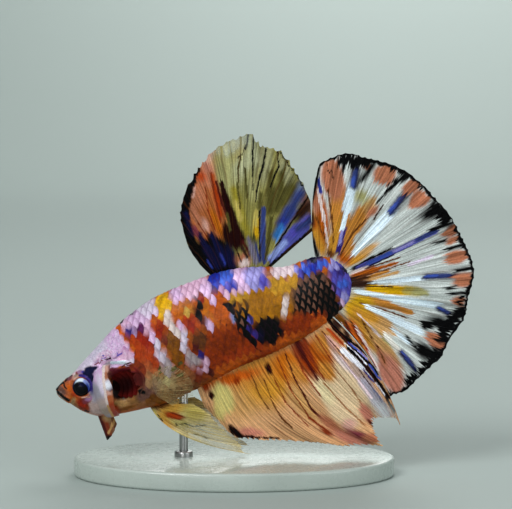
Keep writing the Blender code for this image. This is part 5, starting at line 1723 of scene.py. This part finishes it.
make_fin(
    "dorsal", "dorsal_fin", "olive_dorsal", dorsal_root, DORSAL_RAYS, sway(0.9, 3.2, 0.1),
    DORSAL_SKIN,
    across=240, along=60, ray_count=15, forks=0.5, tips=30, depth=0.03, thickness=0.3,
)
make_fin(
    "caudal", "caudal_fin", "white_caudal", caudal_root, CAUDAL_RAYS, sway(0.7, 4.5, 0.0),
    CAUDAL_SKIN,
    across=340, along=64, ray_count=21, forks=0.42, tips=52, depth=0.014, thickness=0.3,
)
make_fin(
    "anal", "anal_fin", "amber_anal", anal_root, ANAL_RAYS, sway(0.8, 4.0, 0.3), ANAL_SKIN,
    across=340, along=64, ray_count=27, forks=0.5, tips=54, depth=0.05, thickness=0.3,
)
for side, word in SIDES:
    make_fin(
        f"pectoral_{word}", f"pectoral_fin_{word}", "clear_pectoral", straight_root(PECTORAL_ROOT),
        PECTORAL_RAYS, pectoral_sway, PECTORAL_SKIN,
        across=110, along=30, ray_count=11, forks=0.6, tips=22, depth=0.03, thickness=0.14,
        side=side,
    )
    make_fin(
        f"pelvic_{word}", f"pelvic_fin_{word}", "yellow_pelvic", straight_root(PELVIC_ROOT),
        PELVIC_RAYS, pelvic_sway(side), PELVIC_SKIN,
        across=90, along=60, ray_count=7, forks=0.6, tips=14, depth=0.03, thickness=0.22, side=side,
        bow_at=PELVIC_BOW_AT,
    )

# ---------- Eyes ----------

PUPIL_RISE, PUPIL_GROOVE = 0.1, 0.07
EYE_SUNK = 0.05


def make_eye(side, word):
    deselect()
    bpy.ops.mesh.primitive_uv_sphere_add(segments=96, ring_count=64, radius=1.0)
    eye = new_piece(f"eyeball_{word}")
    flat = corners(eye)
    # The sphere's pole turns out along y. The iris is drawn flat, and the pupil stands out of it.
    outward, radial = flat[:, 2].copy(), np.hypot(flat[:, 0], flat[:, 1])
    dome = EYE_DEPTH * np.sign(outward) * np.abs(outward) ** 0.9
    pupil = PUPIL_RISE * (1 - ramp(radial, 0.66, 0.76))
    groove = PUPIL_GROOVE * bump(radial, 0.78, 0.05)
    points = np.stack(
        [
            EYE_AT[0] + EYE_RADIUS * flat[:, 0],
            side * (EYE_AT[1] + dome + np.where(outward > 0, pupil - groove, 0) - EYE_SUNK),
            EYE_AT[2] + EYE_RADIUS * flat[:, 1],
        ],
        -1,
    )
    move_corners(eye, in_row(points))
    edit(eye, face_out)
    write_marks(eye)
    smooth(eye, 60)
    dress(eye, EYE_PAINT, "eye_black", f"eye_{word}")


def eye_material():
    material, tree, shader = new_material(
        "eye_enamel", Roughness=0.4, Specular_IOR_Level=0.06, Coat_Weight=0.12, Coat_Roughness=0.03
    )
    mark = attribute(tree, "mark")
    place = roughen(tree, mark, 0.12, 3.0)
    colour = paint(
        tree,
        srgb("navy"),
        place,
        [
            ("indigo", 4.9, -0.4, 1.3, 1.5, 0.3, 30),
            ("pale_blue", 4.9, -0.15, 1, 1.2, 0.25, 30),
            ("blue_white", 4.35, 0.45, 0.8, 0.4, 0.4, 20),
            ("bright_indigo", 5.3, -0.9, 0.3, 0.7, 0.6),
            ("pupil", 4.14, -0.86, 1.16, 1.32, 0.08, 12),
            ("navy", 4.6, -0.15, 0.45, 0.3, 0.6, -40),
        ],
    )
    join(tree, shader, Base_Color=colour)
    return material


EYE_PAINT = eye_material()
for side, word in SIDES:
    make_eye(side, word)

# ---------- Gill covers, gills and beard ----------

COVER_THICKNESS, GILL_THICKNESS, BEARD_THICKNESS = 0.26, 0.12, 0.2
GILL_ARCHES = 4
ARCH_RADIUS, ARCH_SPACING, ARCH_DEPTH = 1.5, 0.72, 0.85
GILLS_SUNK, GILL_TERRACE = 1.35, 0.16
COMB_TEETH, COMB_HEIGHT = 30, 0.05


def sheet_piece(name, nodes, slot_name, across, along, place, thickness, material):
    """A closed sheet from a grid of across by along faces, laid by place(u, v)."""
    piece = shaped_grid(name, across, along, place)
    write_marks(piece, lean=True)
    apply_modifier(piece, "SOLIDIFY", thickness=thickness * MM, offset=0.0)
    edit(piece, face_out)
    smooth(piece, 60)
    dress(piece, material, slot_name, *nodes)


def cover_point(side):
    hinge = [smooth_curve(COVER_HINGE, n) for n in (1, 2, 3)]

    def place(u, v):
        x, z, length = (h(v) for h in hinge)
        reach = length * (u * 1.06 - 0.06)
        angle = COVER_OPENING + COVER_CURL * (0.5 - u)
        frill = 0.08 * np.sin(22 * v) * ramp(u, 0.7, 1.0)
        flap = (0.5 + 0.35 * bump(z, -1.8, 0.8)) * ramp(u, 0.7, 1.0)
        plate = 0.12 * bump(u, 0.55, 0.3) + frill + flap
        y = flank(x, z) + 0.1 + reach * np.sin(angle) * 0.98
        return np.stack([x + reach * np.cos(angle) + plate, side * y, z + 0.05 * u], -1)

    return place


def cover_material():
    material, tree, shader = new_material(
        "gill_cover_skin", Roughness=0.4, Specular_IOR_Level=0.15, Coat_Weight=0.12, Coat_Roughness=0.16
    )
    mark = attribute(tree, "mark")
    place = roughen(tree, mark, 0.3, 1.6)
    colour = paint(
        tree,
        srgb("grey_lilac"),
        place,
        [
            ("lavender", 7.2, 0.2, 1.2, 1.4),
            ("pearl", 7.2, -1.6, 0.5, 1.8, 0.6),
            ("pink_grey", 6.6, -4.8, 1.6, 1.2),
            ("beige", 6.3, -5.8, 1.4, 0.6),
            # The flap of thin skin behind the rim.
            ("salmon", [(9.6, 0.9), (8.9, 0), (8.6, -1.2), (8.1, -3), (7.9, -4.8)], 1.3, 0.2),
            ("grey_pearl", 9.3, 1.25, 0.6, 0.5),
            ("pale_pink", 9, 0.5, 0.5, 0.5, 0.5, 20),
            ("plum", 9.7, 0.2, 0.5, 0.8, 0.5, 20),
            ("red_brown", 9.1, -0.6, 0.4, 0.5),
            ("pale_pink", 7.9, -3.2, 0.5, 0.5),
            ("orange_flesh", [(7.9, -3.9), (7.8, -5.2)], 0.9, 0.4),
            ("orange_red", [(7.9, -5.4), (8.1, -7.4)], 1.5, 0.4),
            ("deep_red", 8.1, -6.8, 0.8, 0.8),
            ("maroon", 8.6, -2.6, 0.5, 0.25, 0.5, 45),
            ("ink", 9.15, -1.95, 0.2, 0.5, 0.5, -10),
            ("grey_lilac", 8.3, -1.9, 0.8, 0.8),
            ("bright_pearl", 8.2, -1.85, 0.7, 0.6, 0.8, 20),
            # The pale rim.
            ("cream_pink", [(9.7, 1.85), (8.75, 1.4), (8.3, 0.5), (7.95, -0.6), (7.6, -2)], 0.42, 0.4),
            ("cream_pink", [(7.6, -2), (7.3, -3.6), (7.1, -5)], 0.36),
            ("pale_orange", [(7.1, -5), (7.2, -6), (7.4, -7.2)], 0.34),
        ],
    )
    fine = noise(tree, mark, 5.0, 3.0, 0.6)
    tone = ease(tree, fine, 0.3, 0.7, 0.86, 1.1)
    colour = toned(tree, colour, tone)
    join(tree, shader, Base_Color=colour, Normal=relief(tree, fine, 0.04, 0.6))
    return material


def gill_material():
    material, tree, shader = new_material("gill_filaments", Roughness=0.6, Specular_IOR_Level=0.06)
    rays = own_uv(tree)
    line = grouped(tree, RAY_LINES, Rays=rays, Count=30.0, Width=0.6, Wander=0.3).outputs[0]
    mark = attribute(tree, "mark")
    cloud = noise(tree, mark, 0.9, 2.0)
    # Painted shade: the arches are dark maroon in the middle of the gill pocket, where it lies deep in shade,
    # and their own gill red outside it.
    shaded_hollow = patch_mask(tree, mark, 10.8, -2.7, 2.0, 1.8, 0.6)
    deep = blend(tree, ease(tree, cloud, 0.4, 0.8, 0.0, 0.35), srgb("dark_maroon"), srgb("maroon"))
    deep = blend(tree, shaded_hollow, srgb("gill_red"), deep)
    colour = blend(tree, times(tree, line, 0.07), deep, srgb("flesh_red"))
    join(tree, shader, Base_Color=colour, Normal=relief(tree, line, 0.08, 0.9))
    return material


def beard_material():
    material, tree, shader = new_material("beard_membrane", Roughness=0.5, Specular_IOR_Level=0.12)
    mark = attribute(tree, "mark")
    place = roughen(tree, mark, 0.35, 1.8)
    colour = paint(
        tree,
        srgb("brown_beard"),
        place,
        [
            ("red_brown", 5.6, -8.2, 0.7, 2.6, 0.4),
            ("maroon", 5.35, -8.2, 0.3, 2.2),
            ("soft_tan", 6.6, -6.8, 0.9, 0.8),
            ("pale_orange", [(7.2, -5.6), (7.25, -7.3), (6.7, -8.4), (5.8, -9.4)], 0.34, 0.35),
            ("beige_brown", 7.3, -8.6, 0.3, 1, 0.5, 10),
            ("ink", 5.6, -10.2, 0.5, 0.5),
        ],
    )
    rays = own_uv(tree)
    line = grouped(tree, RAY_LINES, Rays=rays, Count=9.0, Width=0.3, Wander=0.5).outputs[0]
    colour = blend(tree, times(tree, line, 0.3), colour, srgb("dark_brown"))
    join(tree, shader, Base_Color=colour, Normal=relief(tree, line, 0.05, 0.6))
    return material


COVER_SKIN, GILL_SKIN, BEARD_SKIN = cover_material(), gill_material(), beard_material()


def gill_leaf(side, order):
    """One arch of the gills: a curved comb that hangs in the pocket, the rear ones further out."""
    radius = ARCH_RADIUS + ARCH_SPACING * order
    depth = flank(*GILL_AT) - GILLS_SUNK + GILL_TERRACE * order

    def place(u, v):
        angle = math.radians(62 - 9 * order) * (1 - 2 * u) + math.radians(3)
        reach = radius + ARCH_DEPTH * v
        comb = COMB_HEIGHT * np.cos(2 * np.pi * COMB_TEETH * u) * v
        x = 8.7 + reach * np.cos(angle)
        z = GILL_AT[1] + 0.1 + reach * np.sin(angle)
        y = depth + 0.5 * v * (1 - v) + comb - 0.25 * v
        return np.stack([x, side * y, z], -1)

    return place


def beard_point(side):
    def place(u, v):
        x = BEARD_FRONT + (BEARD_REAR - BEARD_FRONT) * u
        out = BEARD_INNER + (BEARD_OUTER - BEARD_INNER) * u
        top = underside(x, out * 0.8) + 0.5
        drop = BEARD_DROP * (1 - 0.45 * u) * v + 0.9 * v**0.5
        frill = 0.12 * np.sin(16 * u) * v
        return np.stack(
            [
                x + BEARD_SWEEP * v + 0.1 * frill,
                side * (out * (0.75 + 0.25 * v) + BEARD_FLARE * v + frill),
                top - drop,
            ],
            -1,
        )

    return place


for side, word in SIDES:
    sheet_piece(
        f"cover_{word}",
        (f"gill_cover_{word}",),
        "pearl_skin",
        60,
        110,
        cover_point(side),
        COVER_THICKNESS,
        COVER_SKIN,
    )
    for order in range(GILL_ARCHES):
        sheet_piece(
            f"gill_arch_{word}_{order}",
            (f"gills_{word}",) if order == 0 else (),
            "gill_red",
            160,
            12,
            gill_leaf(side, order),
            GILL_THICKNESS,
            GILL_SKIN,
        )
    sheet_piece(
        f"beard_frill_{word}",
        (f"beard_{word}",),
        "beard_brown",
        50,
        40,
        beard_point(side),
        BEARD_THICKNESS,
        BEARD_SKIN,
    )

# ---------- Stand ----------

PLINTH_BEVEL, PIN_BEVEL, COLLAR_BEVEL = 0.5 * MM, 0.1 * MM, 0.3 * MM
COLLAR_RADIUS, COLLAR_SUNK, COLLAR_HEIGHT = 1.5 * MM, 0.3 * MM, 0.9 * MM


def stand_finish():
    material, tree, shader = new_material(
        "stand_lacquer", Roughness=0.28, Coat_Weight=0.4, Coat_Roughness=0.06
    )
    place = add(tree, "ShaderNodeTexCoord").outputs["Object"]
    grain = noise(tree, place, 900.0, 3.0, 0.6)
    cloud = noise(tree, place, 60.0, 2.0)
    colour = blend(tree, ease(tree, cloud, 0.3, 0.7), srgb("stand_pale"), srgb("stand_shade"))
    join(
        tree,
        shader,
        Base_Color=colour,
        Roughness=ease(tree, grain, 0.3, 0.7, 0.24, 0.34),
        Normal=relief(tree, grain, 0.01, 0.3),
    )
    return material


def steel_finish():
    material, tree, shader = new_material("brushed_steel", Metallic=1.0)
    place = add(tree, "ShaderNodeTexCoord").outputs["Object"]
    drawn = vector_calc(tree, "MULTIPLY", place, (9000, 9000, 400))
    grain = noise(tree, drawn, 1.0, 2.0)
    colour = blend(tree, grain, srgb("steel"), srgb("dark_steel"))
    join(
        tree,
        shader,
        Base_Color=colour,
        Roughness=ease(tree, grain, 0.3, 0.7, 0.26, 0.4),
        Normal=relief(tree, grain, 0.004, 0.5),
    )
    return material


def turned_piece(name, segments, radius, low, high, centre, stretch, bevel, levels=4):
    """A round or oval block from low to high, its rims rounded."""
    deselect()
    bpy.ops.mesh.primitive_cylinder_add(
        vertices=segments, radius=radius, depth=high - low, location=(*centre, (low + high) / 2)
    )
    piece = new_piece(name)
    piece.scale = (1, stretch, 1)
    bpy.ops.object.transform_apply(location=True, rotation=True, scale=True)
    apply_modifier(piece, "BEVEL", width=bevel, segments=levels, limit_method="ANGLE")
    smooth(piece, 40)
    return piece


def middle_of(low, high):
    return (low.x + high.x) / 2, (low.y + high.y) / 2


low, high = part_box("stand_base")
top = high.z
plinth = turned_piece(
    "stand_plinth",
    192,
    (high.x - low.x) / 2,
    low.z,
    high.z,
    middle_of(low, high),
    (high.y - low.y) / (high.x - low.x),
    PLINTH_BEVEL,
)
dress(plinth, stand_finish(), "stand_pale", "stand_base")
low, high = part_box("stand_rod")
centre = middle_of(low, high)
STEEL = steel_finish()
rod = turned_piece("stand_pin", 64, (high.x - low.x) / 2, low.z, high.z, centre, 1.0, PIN_BEVEL, 2)
dress(rod, STEEL, "stand_steel", "stand_rod")
collar = turned_piece(
    "stand_collar", 64, COLLAR_RADIUS, top - COLLAR_SUNK, top + COLLAR_HEIGHT, centre, 1.0, COLLAR_BEVEL
)
dress(collar, STEEL, "stand_steel")

# ---------- Room, lights and camera ----------

FLOOR_RADIUS, WALL_DEPTH, WALL_HEIGHT = 0.7, 0.5, 0.9


def make_room():
    """A pale floor that curves up into a wall all round."""

    def place(u, v):
        angle = 2 * np.pi * u
        turn = np.pi * (v - 0.5)
        radius = np.where(v < 0.5, FLOOR_RADIUS * v * 2, FLOOR_RADIUS + WALL_DEPTH * np.sin(turn))
        height = np.where(v < 0.5, 0, WALL_HEIGHT * (1 - np.cos(turn)))
        return np.stack([radius * np.cos(angle), radius * np.sin(angle), height], -1)

    room, u, v = unit_grid("room", 96, 48)
    move_corners(room, place(u, v))
    edit(room, weld)
    smooth(room, 60)
    room.data.materials.append(new_material("room_paint", Roughness=0.8, Base_Color=srgb("room"))[0])


make_room()


def area_light(name, place, target, size, power, tint):
    deselect()
    bpy.ops.object.light_add(type="AREA", location=place)
    lamp = bpy.context.object
    lamp.name = name
    lamp.data.shape = "DISK"
    lamp.data.size = size
    lamp.data.energy = power
    lamp.data.color = tint
    lamp.rotation_euler = (Vector(target) - Vector(place)).to_track_quat("-Z", "Y").to_euler()


HEART = (0.0, 0.0, 0.035)
WHITE, COOL = (1, 1, 1), (0.95, 0.98, 1.0)
# Name, place, what it points at, width, power in watts, tint.
LIGHTS = (
    ("key", (-0.25, -0.4, 0.45), HEART, 0.3, 2.2, WHITE),
    ("fill", (0.45, -0.35, 0.2), HEART, 0.4, 0.8, COOL),
    ("low", (-0.12, -0.5, 0.0), HEART, 0.25, 0.55, WHITE),
    ("rim", (0.15, 0.35, 0.4), HEART, 0.3, 0.8, WHITE),
    ("wall", (0.1, 0.97, 0.42), (0.1, 0.98, 0.05), 0.4, 2.1, WHITE),
)
for light in LIGHTS:
    area_light(*light)

SKY_TINT, SKY_STRENGTH = (0.9, 0.95, 0.95, 1), 0.62
world = bpy.data.worlds.new("studio")
world.use_nodes = True
sky = world.node_tree.nodes["Background"]
sky.inputs["Color"].default_value = SKY_TINT
sky.inputs["Strength"].default_value = SKY_STRENGTH
bpy.context.scene.world = world

CAMERA_FAR, CAMERA_LIFT = 0.35, math.radians(5.5)
CAMERA_LENS, CAMERA_SENSOR = 153.0, 36.0
TARGET = Vector((-1.48 * MM, 0.0, 35.85 * MM))
back = Vector((0, -math.cos(CAMERA_LIFT), math.sin(CAMERA_LIFT)))
camera_data = bpy.data.cameras.new("camera")
camera = bpy.data.objects.new("camera", camera_data)
bpy.context.scene.collection.objects.link(camera)
camera_data.sensor_width = CAMERA_SENSOR
camera_data.lens = CAMERA_LENS
camera_data.clip_start, camera_data.clip_end = 0.01, 10.0
camera.location = TARGET + back * CAMERA_FAR
camera.rotation_mode = "QUATERNION"
camera.rotation_quaternion = (-back).to_track_quat("-Z", "Y")
bpy.context.scene.camera = camera
bpy.context.scene.view_settings.view_transform = "Standard"
